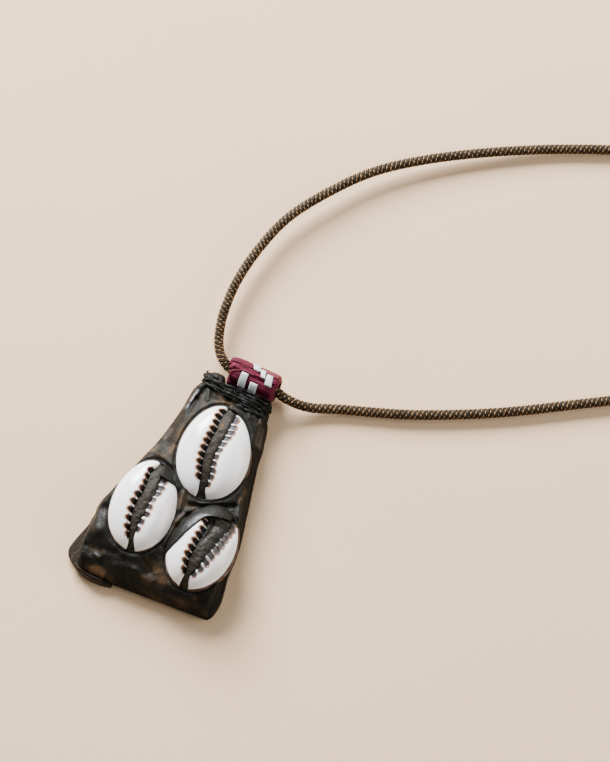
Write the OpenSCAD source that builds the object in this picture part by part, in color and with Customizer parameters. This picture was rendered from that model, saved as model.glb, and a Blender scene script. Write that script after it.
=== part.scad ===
// Cowrie shell amulet: a leather packet moulded round three cowries, on a long two-coloured neck cord.
// It lies on its back, with the shells up (+Z) and its neck and bail towards +Y.
// The origin is on the surface, under the middle of the pendant's own box.

/* [Leather packet] */
// Widest width of the packet
packet_w = 36.2; // [36.1:0.1:36.9]
// Length of the packet, from its bottom edge to the end of its neck
packet_l = 53.8; // [53:0.2:54.6]
// Height of the leather above the surface, away from the shells
packet_t = 6.3; // [5.8:0.1:6.6]
// Rise of the leather where it is drawn up round a shell
collar_rise = 1.7; // [1.2:0.1:2]
// Thickness of the back panel
back_t = 1.4; // [1:0.1:1.5]

/* [Cowries] */
// Height of the shells' crests above the surface
shell_top = 11.4; // [10.8:0.1:12]
// Height of the cut backs of the shells
shell_back = 3.6; // [3:0.1:4]
// Width of the mouth between the teeth
mouth_w = 2.6; // [2.2:0.1:2.8]
// Number of grooves on each side of a mouth
tooth_n = 11; // [8:1:12]
// Distance between two grooves
tooth_pitch = 1.65; // [1.5:0.05:1.7]

/* [Binding and bail] */
// Thickness of the waxed cord of the binding
bind_d = 1; // [0.8:0.1:1]
// Turns of the binding round the neck
bind_turns = 3; // [2:1:3]
// Length of the bail
bail_l = 11.8; // [11.4:0.2:12.4]
// Outer diameter of the bail, without its white strips
bail_d = 7.4; // [7:0.1:7.6]
// Bore of the bail
bail_bore = 3.4; // [3.3:0.1:3.6]

/* [Neck cord] */
// Diameter of the neck cord
cord_d = 2.6; // [2.3:0.1:2.6]
// Diameter of the clasp
clasp_d = 5.4; // [5.2:0.1:5.6]

/* [Hidden] */

leather_colour = "#2b2420";
back_colour = "#241e1b";
shell_colour = "#f3efea";
binding_colour = "#15140f";
bail_colour = "#6d1230";
strip_colour = "#dcdcd8";
cord_colour = "#6b5138";
clasp_colour = "#8a6f42";

// The small space left between two pieces that lie on each other
gap = 0.12;

// Packet outline, from the neck's end down to the bottom edge.
// Columns: y, left x, right x, left edge radius, right edge radius, share of the packet's height
OUTLINE = [
    [ 23.4,  -7.1,   7.5, 2.2, 2.2, 0.94],
    [ 20.2,  -7.1,   7.5, 2.2, 2.2, 0.94],
    [ 19.0,  -9.5,   9.6, 2.4, 2.0, 0.96],
    [ 15.0, -10.2,  11.2, 3.0, 2.2, 0.99],
    [ 10.0, -10.9,  12.0, 3.2, 2.2, 1.00],
    [  5.0, -11.9,  13.0, 3.2, 2.2, 1.00],
    [  0.0, -13.2,  14.3, 3.0, 2.0, 1.00],
    [ -6.0, -14.6,  16.2, 2.4, 1.2, 1.00],
    [-11.0, -16.0,  17.9, 2.2, 0.7, 1.00],
    [-15.0, -17.3,  18.7, 2.4, 0.6, 0.99],
    [-19.0, -17.6,  18.6, 2.6, 0.8, 0.96],
    [-24.0, -17.3,  18.4, 2.8, 1.8, 0.88],
    [-30.4, -16.9,  18.2, 3.0, 2.4, 0.74]];
outline_w = 36.2;
outline_l = 53.8;
y_bottom = -30.4 * packet_l / outline_l;
y_neck = 23.4 * packet_l / outline_l;
packet_base = back_t + gap;
bottom_r = 3.4;
corner_r = 2.4;
neck_end_r = 1.6;
neck_slant = 0.07;
slant_from = 12;
slant_over = 8;
// The bottom edge rises towards the right
bottom_slant = 0.065;
bottom_from_x = -6;
bottom_from_y = -18;
bottom_over = 10;
collar_end = 19.8;
collar_fade = 2.4;
edge_low = 0.25;
grid_crowding = 0.35;

// Back panel outline, anticlockwise from the neck: it shows past the packet on both sides,
// and swells out into a rounded flap low on the left. Columns: x, y
BACK = [
    [ -8.8, 20.0], [-10.0, 18.4], [-10.2, 14.4], [-10.9, 10.0], [-12.0,  5.0], [-13.3,  0.0], [-14.7, -6.0],
    [-16.0, -11.0], [-17.2, -15.0], [-17.6, -18.6], [-17.6, -20.2], [-18.2, -22.4], [-18.7, -25.0],
    [-18.8, -26.9], [-18.2, -28.3], [-17.0, -29.0], [-14.0, -29.5], [ -6.0, -29.8], [  4.0, -29.4],
    [ 17.2, -28.4], [ 18.2, -27.4], [ 18.7, -24.6], [ 18.7, -17.0], [ 18.0, -11.0], [ 16.4, -5.6], [ 14.8,  0.0],
    [ 13.4,  5.2], [ 12.4, 10.0], [ 11.6, 14.4], [ 10.4, 18.3]];

// Plan of the folded tab at the left corner, clockwise round its outside and back along the packet.
// Columns: x, y, height
TAB_OUT = [
    [-15.2, -30.7, 2.0], [-14.2, -31.2, 2.8], [-12.4, -31.7, 3.3], [-10.2, -31.7, 3.3], [ -8.0, -31.3, 2.9],
    [ -6.0, -30.9, 2.0]];
TAB_IN = [
    [-15.0, -30.5, 2.0], [-13.8, -30.6, 3.2], [-12.2, -30.6, 4.0], [-10.2, -30.6, 4.2], [ -8.0, -30.6, 3.6],
    [ -6.0, -30.6, 2.4]];
tab_low = 0.2;

// The cowries. Columns: centre x, centre y, turn from +Y, length, width, egg factor
SHELLS = [
    [  2.5,   6.6, 13.5, 24.2, 17.7, -0.10],
    [ -6.7, -11.8, 10.0, 23.2, 15.9, -0.08],
    [ 10.0, -15.1, -3.0, 21.8, 15.7, -0.05]];
// Middle line of a mouth, as an offset across the shell. Columns: place along the shell, offset on each shell
MOUTH = [
    [ 12.5,  1.7,  1.2,  0.3],
    [  8.0,  1.1,  0.9, -0.1],
    [  4.0,  0.4,  0.5, -0.4],
    [  0.0, -0.6, -0.1, -0.7],
    [ -4.0, -1.0, -0.7, -0.9],
    [ -8.0, -1.0, -0.6, -0.1],
    [-12.5, -0.3,  0.6,  0.7]];
girth_z = 6.7;
dome_power = 2.4;
dome_round = 0.56;
collar_reach = 4.2;
mouth_floor = 2.6;
mouth_past = 0.3;
mouth_steps = 10;
slice_t = 0.02;
mouth_tail = 0.62;
tail_start = -6.5;
tooth_first = 9.1;
tooth_w = 0.88;
// Length of the grooves on the left and right lips, at the top and the bottom of a mouth
tooth_left = [1.3, 0.7];
tooth_right = [2.0, 1.0];

bind_r = bind_d / 2;
bind_mid_x = 0.2;
bind_mid_z = 3.6;
bind_half_w = 8.4;
bind_half_h = 2.96;
bind_square_low = 0.36;
bind_square_top = 0.6;
bind_pitch = 0.98;
bind_y = 20.85;
bind_steps = 26;

bail_x = -3.2;
bail_y = 27.75;
bail_z = 4.5;
bail_round = 0.8;
strip_t = 0.22;
// White strips on the bail. Columns: start along the bail, width, first angle and last angle from +Y
STRIPS = [
    [3.0, 1.8,  96, 155],
    [5.8, 1.9, 117, 180],
    [8.8, 1.7,  66, 108],
    [4.7, 1.9,  42,  70],
    [7.1, 1.2,  55,  88]];

// Route of the neck cord's middle line, from the clasp round through the bail and back
ROUTE = [
    [158, 116, 2.7], [158, 121, 2.7], [157, 127, 2.2], [153.5, 133.5, 1.6], [147, 139, 1.4],
    [138, 142, 1.4], [127, 142.8, 1.4], [114, 140.5, 1.4], [100, 136.4, 1.4], [85, 131.2, 1.4],
    [70, 125.6, 1.4], [55.5, 120.2, 1.4], [41, 113.5, 1.5], [27, 105.6, 2], [14.9, 97.5, 2.6],
    [5.3, 89.2, 3.2], [-2.2, 79.5, 3.6], [-8, 69.5, 3.8], [-10.9, 59.4, 3.9], [-12.1, 49.3, 4],
    [-11.5, 40.7, 4.1], [-10.1, 35.2, 4.3], [-8.5, 31.7, 4.4], [-6.3, 29.3, 4.5], [-3.3, 27.95, 4.5],
    [1.5, 27.75, 4.5], [7.8, 27.6, 4.45], [11.6, 27.1, 3.5], [17, 28, 1.9], [24, 30.9, 1.4],
    [40, 36.9, 1.4], [58, 45.9, 1.4], [76, 56.9, 1.4], [94, 68, 1.4], [112, 76.6, 1.4], [130, 82, 1.4],
    [143, 85, 1.5], [152, 89, 2], [157, 95, 2.7], [158, 102, 2.7]];
cord_sides = 8;
cord_steps = 2;
clasp_l = 20;
clasp_bore = 3;

// A ramp from 0 to 1 with no slope at its ends
function ease(t) = let (c = max(0, min(1, t))) c * c * (3 - 2 * c);

// A quarter round: 0 at the edge, 1 from the radius inwards
function quarter(d, r) = let (c = max(0, min(1, d / r))) sqrt(1 - (1 - c) * (1 - c));

// One cubic stretch through b and c, with a and d before and after them
function cubic(a, b, c, d, t) =
    0.5 * (2 * b + (c - a) * t + (2 * a - 5 * b + 4 * c - d) * t * t + (3 * b - a - 3 * c + d) * t * t * t);

// A column of a table whose first column falls, smoothly between its rows
function column(table, col, y) =
    let (
        last = len(table) - 1,
        below = [for (i = [0:last]) if (table[i][0] >= y) i],
        i = min(last - 1, max(0, len(below) - 1)),
        t = max(0, min(1, (table[i][0] - y) / (table[i][0] - table[i + 1][0]))))
    cubic(table[max(0, i - 1)][col], table[i][col], table[i + 1][col], table[min(last, i + 2)][col], t);

// Place of a point of the row frame in a shell's own frame: across and along
function in_shell(s, x, y) =
    let (dx = x - s[0], dy = y - s[1])
    [dx * cos(s[2]) + dy * sin(s[2]), dy * cos(s[2]) - dx * sin(s[2])];

// 0 at the middle of a shell and 1 on its girth
function shell_reach(s, u, v) =
    let (t = v / (s[3] / 2))
    sqrt(t * t + pow(u / (s[4] / 2 * (1 + s[5] * max(-1, min(1, t)))), 2));

// Height of a shell's dome, from its reach
function dome_z(reach) =
    girth_z + (shell_top - girth_z) * pow(max(0, 1 - pow(min(1, reach), dome_power)), dome_round);

// Left and right sides of the packet, and how far a point lies inside them
function side_x(col, y) = column(OUTLINE, col, y * outline_l / packet_l) * packet_w / outline_w;
function corner_in(y) =
    let (d = max(0, min(1, (y - y_bottom) / corner_r)))
    corner_r * (1 - sqrt(1 - (1 - d) * (1 - d)));

// Rise of the leather round the shells at a point
function collar(x, y) =
    let (rises = [for (s = SHELLS)
        let (p = in_shell(s, x, y), r = shell_reach(s, p[0], p[1]))
        ease(1 - (r - 1) * s[4] / 2 / collar_reach)])
    collar_rise * min(1, norm(rises));

// Height of the packet's top above its base, before its edges are rounded
function packet_rise(x, y, y0) =
    packet_t * column(OUTLINE, 5, y0) - packet_base + collar(x, y) * ease((collar_end - y0) / collar_fade);

// Even steps from 0 to 1, drawn together towards both ends
function crowded(t) = t + ((1 - cos(180 * t)) / 2 - t) * grid_crowding;

// Point of the packet's top, at a place across and up its grid
function packet_point(i, j, nx, ny) =
    let (
        along = crowded(j / ny),
        y0 = y_bottom + (y_neck - y_bottom) * along,
        left = side_x(1, y0) + corner_in(y0),
        right = side_x(2, y0) - corner_in(y0) / 2,
        x = left + (right - left) * crowded(i / nx),
        y = y0 - neck_slant * (x - bind_mid_x) * ease((y0 - slant_from) / slant_over)
            + bottom_slant * max(0, x - bottom_from_x) * ease((bottom_from_y - y0) / bottom_over),
        sides = quarter(x - left, side_x(3, y0)) * quarter(right - x, side_x(4, y0)),
        ends = quarter(y0 - y_bottom, bottom_r) * quarter(y_neck - y0, neck_end_r))
    [x, y, packet_base + max(edge_low, packet_rise(x, y, y0) * sides * ends)];

// A closed solid under a grid of top points, down to a flat base
module heightfield(points, nx, ny, base) {
    top = [for (row = points) each row];
    low = [for (row = points) each [for (p = row) [p[0], p[1], base]]];
    n = nx + 1;
    m = len(top);
    faces_top = [for (j = [0:ny - 1], i = [0:nx - 1])
        let (a = j * n + i, b = (j + 1) * n + i)
        each [[a, b, b + 1], [a, b + 1, a + 1]]];
    rim = concat(
        [for (i = [0:nx - 1]) i],
        [for (j = [0:ny - 1]) j * n + nx],
        [for (i = [nx:-1:1]) ny * n + i],
        [for (j = [ny:-1:1]) j * n]);
    walls = [for (k = [0:len(rim) - 1])
        let (a = rim[k], b = rim[(k + 1) % len(rim)])
        each [[a, b, b + m], [a, b + m, a + m]]];
    floor_face = [[for (k = rim) k + m]];
    polyhedron(concat(top, low), concat(faces_top, walls, floor_face), convexity = 6);
}

// The domed body of a shell, from its cut back to its crest, grown by g
module shell_body(s, g, around, rings) {
    grown = [s[0], s[1], s[2], s[3] + 2 * g, s[4] + 2 * g, s[5]];
    reach = function(k) sin(90 * (1 - k / rings));
    ring = function(r, z) [for (a = [0:around - 1])
        let (
            t = r * cos(360 * a / around),
            u = -r * sin(360 * a / around) * grown[4] / 2 * (1 + s[5] * t),
            v = t * grown[3] / 2)
        [u, v, z]];
    back = ring(0.9, shell_back - g);
    under = ring(0.985, (shell_back + girth_z) / 2);
    domes = [for (k = [0:rings - 1]) ring(reach(k), dome_z(reach(k)) + g)];
    points = concat(back, under, [for (d = domes) each d], [[0, 0, shell_top + g]]);
    count = rings + 2;
    tip = count * around;
    translate([s[0], s[1], 0])
    rotate([0, 0, s[2]])
    polyhedron(points, concat(
        [[for (a = [0:around - 1]) a]],
        [for (k = [0:count - 2], a = [0:around - 1])
            let (b = (a + 1) % around)
            each [[k * around + a, (k + 1) * around + a, (k + 1) * around + b],
                [k * around + a, (k + 1) * around + b, k * around + b]]],
        [for (a = [0:around - 1]) [(count - 1) * around + a, tip, (count - 1) * around + (a + 1) % around]]),
        convexity = 4);
}

// Half width of a mouth at a place along the shell
function mouth_half(v) = mouth_w / 2 * (1 - (1 - mouth_tail) * ease((tail_start - v) / 2));

// Places along the shell at which a mouth is set out, from just past its top end to just past its bottom
function mouth_place(s, k) = (s[3] / 2 + mouth_past) * (1 - 2 * k / mouth_steps);

// A thin slice across a mouth's slot, at a place along the shell
module mouth_slice(i, v) {
    half = mouth_half(v);
    low = mouth_low(i, v);
    translate([column(MOUTH, i + 1, v) - half, v - slice_t / 2, low])
    cube([2 * half, slice_t, shell_top + 1 - low]);
}

// Height of the dome over a mouth's middle line
function mouth_top(i, v) = dome_z(shell_reach(SHELLS[i], column(MOUTH, i + 1, v), v));

// Height of a mouth's floor, which follows the dome
function mouth_low(i, v) = max(shell_back + 0.8, mouth_top(i, v) - mouth_floor);

// The slot of a mouth, open at both ends, with the grooves between the teeth
module mouth_cut(i) {
    s = SHELLS[i];
    translate([s[0], s[1], 0])
    rotate([0, 0, s[2]]) {
        for (k = [0:mouth_steps - 1]) {
            hull() {
                mouth_slice(i, mouth_place(s, k));
                mouth_slice(i, mouth_place(s, k + 1));
            }
        }
        for (side = [-1, 1], k = [0:tooth_n - 1]) {
            v = tooth_first - k * tooth_pitch;
            f = k / (tooth_n - 1);
            lengths = side < 0 ? tooth_left : tooth_right;
            reach_out = lengths[0] + (lengths[1] - lengths[0]) * f;
            u = column(MOUTH, i + 1, v) + side * mouth_half(v);
            z_in = dome_z(shell_reach(s, u, v));
            u_out = u + side * reach_out;
            z_out = dome_z(shell_reach(s, u_out, v));
            hull() {
                tooth_wedge(u - side * 0.3, v, z_in - 1.1, z_in + 0.3);
                tooth_wedge(u_out, v + 0.15, z_out - 0.15, z_out + 0.3);
            }
        }
    }
}

// A thin wedge across the length of a groove
module tooth_wedge(u, v, low, high) {
    translate([u, v, 0])
    rotate([90, 0, 90])
    linear_extrude(slice_t)
    polygon([[0, low], [tooth_w / 2, high], [-tooth_w / 2, high]]);
}

module cowrie(i) {
    color(shell_colour)
    difference() {
        shell_body(SHELLS[i], 0, 36, 8);
        mouth_cut(i);
    }
}

// The ridge of leather that fills a mouth and joins the packet at both ends of the shell
module mouth_ridge(i) {
    s = SHELLS[i];
    translate([s[0], s[1], 0])
    rotate([0, 0, s[2]])
    for (k = [0:mouth_steps - 1]) {
        hull() {
            ridge_slice(i, mouth_place(s, k));
            ridge_slice(i, mouth_place(s, k + 1));
        }
    }
}

module ridge_slice(i, v) {
    half = mouth_half(v) - gap;
    low = mouth_low(i, v) + gap;
    high = max(packet_t + collar_rise - 0.5, mouth_top(i, v) - 0.3);
    translate([column(MOUTH, i + 1, v), v, 0])
    rotate([90, 0, 0])
    linear_extrude(slice_t, center = true)
    polygon([[-half, low], [half, low], [half, high - 0.4], [half / 2, high], [-half / 2, high],
        [-half, high - 0.4]]);
}

module leather_packet() {
    nx = 38;
    ny = 50;
    points = [for (j = [0:ny]) [for (i = [0:nx]) packet_point(i, j, nx, ny)]];
    color(leather_colour)
    union() {
        difference() {
            heightfield(points, nx, ny, packet_base);
            for (s = SHELLS) {
                shell_body(s, gap, 36, 8);
            }
        }
        for (i = [0:2]) {
            mouth_ridge(i);
        }
    }
}

module back_panel() {
    wide = packet_w / outline_w;
    long = packet_l / outline_l;
    color(back_colour)
    linear_extrude(back_t)
    polygon([for (p = BACK) [p[0] * wide, p[1] * long]]);
}

// The tab of leather folded up over the bottom edge at the left corner
module corner_fold() {
    last = len(TAB_OUT) - 1;
    drop = y_bottom - OUTLINE[len(OUTLINE) - 1][0];
    low = function(p) [p[0], p[1] + drop, tab_low];
    high = function(p) [p[0], p[1] + drop, p[2]];
    points = [for (i = [0:last]) each [low(TAB_OUT[i]), high(TAB_OUT[i]), high(TAB_IN[i]), low(TAB_IN[i])]];
    color(leather_colour)
    polyhedron(points, concat(
        [[0, 3, 2, 1]],
        [for (i = [0:last - 1], k = [0:3])
            let (a = 4 * i + k, b = 4 * i + (k + 1) % 4)
            each [[a, b, b + 4], [a, b + 4, a + 4]]],
        [[4 * last, 4 * last + 1, 4 * last + 2, 4 * last + 3]]), convexity = 4);
}

// One continuous cord wound round the neck, as a tube along a helix of rounded turns
module neck_binding() {
    sides = 8;
    n = bind_turns * bind_steps;
    mid = function(k)
        let (
            a = 360 * k / bind_steps - 90,
            c = cos(a),
            d = sin(a),
            square = d < 0 ? bind_square_low : bind_square_top,
            x = bind_mid_x + bind_half_w * sign(c) * pow(abs(c), square),
            z = bind_mid_z + bind_half_h * sign(d) * pow(abs(d), square))
        [x, bind_y + bind_pitch * k / bind_steps - neck_slant * (x - bind_mid_x), z];
    color(binding_colour)
    tube([for (k = [0:n]) mid(k)], bind_r, sides, [0, 1, 0]);
}

// A tube with flat ends swept along points. Its sides are set out from the direction `over`
module tube(path, r, sides, over) {
    last = len(path) - 1;
    rings = [for (i = [0:last])
        let (
            t = path[min(last, i + 1)] - path[max(0, i - 1)],
            across = cross(t, over) / norm(cross(t, over)),
            lift = cross(across, t) / norm(cross(across, t)))
        [for (a = [0:sides - 1])
            path[i] + r * (across * cos(360 * (a + 0.5) / sides) - lift * sin(360 * (a + 0.5) / sides))]];
    polyhedron([for (ring = rings) each ring], concat(
        [[for (a = [0:sides - 1]) a]],
        [for (i = [0:last - 1], a = [0:sides - 1])
            let (b = (a + 1) % sides)
            each [[i * sides + a, (i + 1) * sides + a, (i + 1) * sides + b],
                [i * sides + a, (i + 1) * sides + b, i * sides + b]]],
        [[for (a = [sides - 1:-1:0]) last * sides + a]]), convexity = 10);
}

// The bound loop that the neck cord runs through
module bail() {
    r = bail_d / 2;
    bore = bail_bore / 2;
    color(bail_colour)
    translate([bail_x, bail_y, bail_z])
    rotate([0, 90, 0])
    rotate_extrude($fn = 48)
    polygon([[bore, 0], [r - bail_round, 0], [r - bail_round / 3, bail_round / 3], [r, bail_round],
        [r, bail_l - bail_round], [r - bail_round / 3, bail_l - bail_round / 3],
        [r - bail_round, bail_l], [bore, bail_l]]);
}

// A white strip that lies on the bail
module bail_strip(row) {
    inner = bail_d / 2 + gap / 3;
    color(strip_colour)
    translate([bail_x + row[0], bail_y, bail_z])
    rotate([0, 90, 0])
    rotate([0, 0, 90 + row[2]])
    rotate_extrude(angle = row[3] - row[2], $fn = 48)
    translate([inner, 0])
    square([strip_t, row[1]]);
}

// Places between the route's points, joined by smooth cubics
function smooth_route(points, steps) =
    let (last = len(points) - 1)
    [for (i = [0:last - 1], k = [0:steps - 1])
        cubic(points[max(0, i - 1)], points[i], points[i + 1], points[min(last, i + 2)], k / steps),
    points[last]];

module neck_cord() {
    color(cord_colour)
    tube(smooth_route(ROUTE, cord_steps), cord_d / 2, cord_sides, [0, 0, 1]);
}

// A plain barrel clasp, with a socket at each end for the cord
module clasp() {
    r = clasp_d / 2;
    bore = clasp_bore / 2;
    first = ROUTE[0];
    last = ROUTE[len(ROUTE) - 1];
    middle = (first + last) / 2;
    turn = atan2(first[1] - last[1], first[0] - last[0]);
    socket = (clasp_l - norm(first - last)) / 2 + gap;
    color(clasp_colour)
    translate([middle[0], middle[1], r])
    rotate([0, 0, turn])
    rotate([0, 90, 0])
    translate([0, 0, -clasp_l / 2])
    difference() {
        rotate_extrude($fn = 40)
        polygon([[0, 0], [r - 1, 0], [r - 0.4, 0.4], [r - 0.2, 1], [r, 3], [r, clasp_l - 3],
            [r - 0.2, clasp_l - 1], [r - 0.4, clasp_l - 0.4], [r - 1, clasp_l], [0, clasp_l]]);
        translate([0, 0, -1])
        cylinder(r = bore, h = 1 + socket, $fn = 32);
        translate([0, 0, clasp_l - socket])
        cylinder(r = bore, h = 1 + socket, $fn = 32);
    }
}

leather_packet();
back_panel();
corner_fold();
cowrie(0);  // cowrie_top
cowrie(1);  // cowrie_left
cowrie(2);  // cowrie_right
neck_binding();
bail();
bail_strip(STRIPS[0]);  // bail_strip_1
bail_strip(STRIPS[1]);  // bail_strip_2
bail_strip(STRIPS[2]);  // bail_strip_3
bail_strip(STRIPS[3]);  // bail_strip_4
bail_strip(STRIPS[4]);  // bail_strip_5
neck_cord();
clasp();
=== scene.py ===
"""Looks of a cowrie shell amulet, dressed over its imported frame.

Everything is in the frame of the CAD model. Sizes are written in millimetres and turned
into metres as the meshes are made.
"""

import logging
import math
from dataclasses import dataclass
from enum import Enum
from typing import Any, Callable, Sequence

import bmesh
import bpy
import numpy as np
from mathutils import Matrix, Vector, noise


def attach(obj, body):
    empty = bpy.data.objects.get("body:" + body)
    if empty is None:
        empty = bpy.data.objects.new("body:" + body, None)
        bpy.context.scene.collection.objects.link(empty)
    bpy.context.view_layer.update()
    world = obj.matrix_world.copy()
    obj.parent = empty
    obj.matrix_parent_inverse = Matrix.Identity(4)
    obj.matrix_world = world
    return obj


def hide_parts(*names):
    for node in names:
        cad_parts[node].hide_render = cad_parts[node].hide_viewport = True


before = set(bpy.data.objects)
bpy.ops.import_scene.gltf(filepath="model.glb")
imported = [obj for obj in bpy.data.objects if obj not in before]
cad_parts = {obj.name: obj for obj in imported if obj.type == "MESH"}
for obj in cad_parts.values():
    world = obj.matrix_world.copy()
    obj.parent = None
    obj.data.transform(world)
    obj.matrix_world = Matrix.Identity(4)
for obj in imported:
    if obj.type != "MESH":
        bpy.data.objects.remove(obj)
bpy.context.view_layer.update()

LOG = logging.getLogger("amulet")
MM = 0.001
Colour = tuple[float, float, float]
Table = Sequence[Sequence[float]]


# Shapes and numbers


def ease(t: np.ndarray) -> np.ndarray:
    """Ramp from 0 to 1 with no slope at its ends."""
    c = np.clip(t, 0.0, 1.0)
    return c * c * (3.0 - 2.0 * c)


def quarter(d: np.ndarray, r: np.ndarray) -> np.ndarray:
    """Quarter round: 0 at the edge and 1 from the radius inwards."""
    c = np.clip(d / r, 0.0, 1.0)
    return np.sqrt(np.maximum(0.0, 1.0 - (1.0 - c) ** 2))


def crowded(t: np.ndarray, share: float) -> np.ndarray:
    """Even steps from 0 to 1, drawn together towards both ends by a share."""
    return t + ((1.0 - np.cos(np.pi * t)) / 2.0 - t) * share


def cubic(a: Any, b: Any, c: Any, d: Any, t: Any) -> Any:
    """One cubic stretch through b and c, with a and d before and after them."""
    return 0.5 * (2 * b + (c - a) * t + (2 * a - 5 * b + 4 * c - d) * t * t + (3 * b - a - 3 * c + d) * t**3)


def column(table: Table, col: int, y: np.ndarray) -> np.ndarray:
    """Reads a column of a table smoothly between its rows.

    Args:
        table: rows whose first number falls from row to row.
        col: the column that is read.
        y: places along the first column.

    Returns:
        The column's value at each place.
    """
    rows = np.asarray(table, float)
    knots, values = rows[:, 0], rows[:, col]
    last = len(knots) - 1
    y = np.asarray(y, float)
    i = np.clip((knots >= y[..., None]).sum(-1) - 1, 0, last - 1)
    t = np.clip((knots[i] - y) / (knots[i] - knots[i + 1]), 0.0, 1.0)
    return cubic(values[np.maximum(i - 1, 0)], values[i], values[i + 1], values[np.minimum(i + 2, last)], t)


def rough(points: np.ndarray, size: float, seed: float, octaves: int = 3) -> np.ndarray:
    """Soft uneven values over points.

    Args:
        points: places in millimetres, one row each.
        size: rough width of one lump, in millimetres.
        seed: shifts the pattern.
        octaves: number of finer layers that are added.

    Returns:
        One value for each point, about -1 to 1.
    """
    shift = Vector((seed * 17.3, seed * 5.1, seed * 9.7))
    return np.array([noise.fractal(Vector(p) / size + shift, 1.0, 2.0, octaves) for p in points])


def rough_field(x: np.ndarray, y: np.ndarray, size: float, seed: float, octaves: int = 3) -> np.ndarray:
    """Soft uneven values, as rough gives them, over a field of places across and along."""
    flat = np.stack([x.ravel(), y.ravel(), np.zeros(x.size)], axis=1)
    return rough(flat, size, seed, octaves).reshape(x.shape)


def bump(d: np.ndarray, width: float) -> np.ndarray:
    """Rounded bump: 1 where a distance is 0, falling off over a width."""
    return np.exp(-((d / width) ** 2))


def turned(x: Any, y: Any, degrees: float) -> tuple[Any, Any]:
    """A place as it is seen from axes turned by an angle."""
    a = math.radians(degrees)
    return x * math.cos(a) + y * math.sin(a), y * math.cos(a) - x * math.sin(a)


def spline(points: Table, steps: int) -> np.ndarray:
    """Joins route points by smooth cubics.

    Args:
        points: the places that the path goes through.
        steps: points to each stretch between two of them.

    Returns:
        The path's points.
    """
    p = np.asarray(points, float)
    last = len(p) - 1
    out = [
        cubic(p[max(0, i - 1)], p[i], p[i + 1], p[min(last, i + 2)], k / steps)
        for i in range(last)
        for k in range(steps)
    ]
    return np.array([*out, p[last]])


def even(path: np.ndarray, step: float) -> np.ndarray:
    """Sets points out along a path at even distances.

    Args:
        path: the path's points.
        step: distance that the points are about apart.

    Returns:
        The new points.
    """
    length = np.concatenate([[0.0], np.cumsum(np.linalg.norm(np.diff(path, axis=0), axis=1))])
    places = np.linspace(0.0, length[-1], max(2, int(round(length[-1] / step))) + 1)
    return np.stack([np.interp(places, length, path[:, k]) for k in range(3)], axis=1)


def directions(path: np.ndarray) -> np.ndarray:
    """Unit direction of a path at each of its points."""
    d = np.gradient(path, axis=0)
    return d / np.linalg.norm(d, axis=1)[:, None]


def carried(path: np.ndarray, start: Sequence[float]) -> tuple[np.ndarray, np.ndarray]:
    """Two directions square to a path, carried along it without twisting.

    Args:
        path: the points.
        start: a direction that isn't along the path's beginning.

    Returns:
        The two directions at each point.
    """
    along = directions(path)
    one = np.zeros_like(path)
    now = np.asarray(start, float)
    for i, t in enumerate(along):
        now = now - t * float(now @ t)
        now = now / np.linalg.norm(now)
        one[i] = now
    return one, np.cross(along, one)


# Meshes


def fresh(*names: str) -> bmesh.types.BMesh:
    """An empty mesh that can keep one number under each name for every vertex.

    Args:
        *names: the names.

    Returns:
        The mesh.
    """
    bm = bmesh.new()
    for name in names:
        bm.verts.layers.float.new(name)
    return bm


def grid(bm: bmesh.types.BMesh, points: np.ndarray) -> list[bmesh.types.BMVert]:
    """Lays a grid and moves its corners to points.

    Args:
        bm: the mesh that is added to.
        points: rows of points in millimetres, with a shape of rows by columns by 3.

    Returns:
        The grid's vertices, row by row.
    """
    rows, cols = points.shape[:2]
    made = bmesh.ops.create_grid(bm, x_segments=cols - 1, y_segments=rows - 1, size=1.0)["verts"]
    made.sort(key=lambda v: (round(v.co.y, 6), round(v.co.x, 6)))
    for v, p in zip(made, points.reshape(-1, 3) * MM):
        v.co = p
    return made


def sweep(
    bm: bmesh.types.BMesh,
    path: np.ndarray,
    across: np.ndarray,
    lift: np.ndarray,
    half_w: Any,
    half_h: Any,
    sides: int = 8,
    material: int = 0,
    **marks: np.ndarray,
) -> None:
    """Draws a rounded section along a path, closed at both ends.

    Args:
        bm: the mesh that is added to.
        path: the middle line, in millimetres.
        across: direction of the section's width at each point.
        lift: direction of its height at each point.
        half_w: half its width, one number or one for each point.
        half_h: half its height.
        sides: number of faces round it.
        material: index of the faces' finish.
        **marks: numbers for each point, kept on the vertices under their names.
    """
    n = len(path)
    turn = np.linspace(0.0, 2.0 * np.pi, sides + 1)
    w = np.broadcast_to(np.asarray(half_w, float), (n,))[None, :, None]
    h = np.broadcast_to(np.asarray(half_h, float), (n,))[None, :, None]
    points = (
        path[None, :, :]
        + np.cos(turn)[:, None, None] * w * across[None, :, :]
        + np.sin(turn)[:, None, None] * h * lift[None, :, :]
    )
    verts = grid(bm, points)
    paint(bm, verts, **{name: np.tile(values, sides + 1) for name, values in marks.items()})
    faces = {f for v in verts for f in v.link_faces}
    for f in faces:
        f.material_index = material
        f.smooth = True
    seam = verts[:n] + verts[-n:]
    bmesh.ops.remove_doubles(bm, verts=seam, dist=1e-7)
    edges = {e for v in verts if v.is_valid for e in v.link_edges if e.is_boundary}
    for f in bmesh.ops.holes_fill(bm, edges=list(edges), sides=0)["faces"]:
        f.material_index = material


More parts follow.
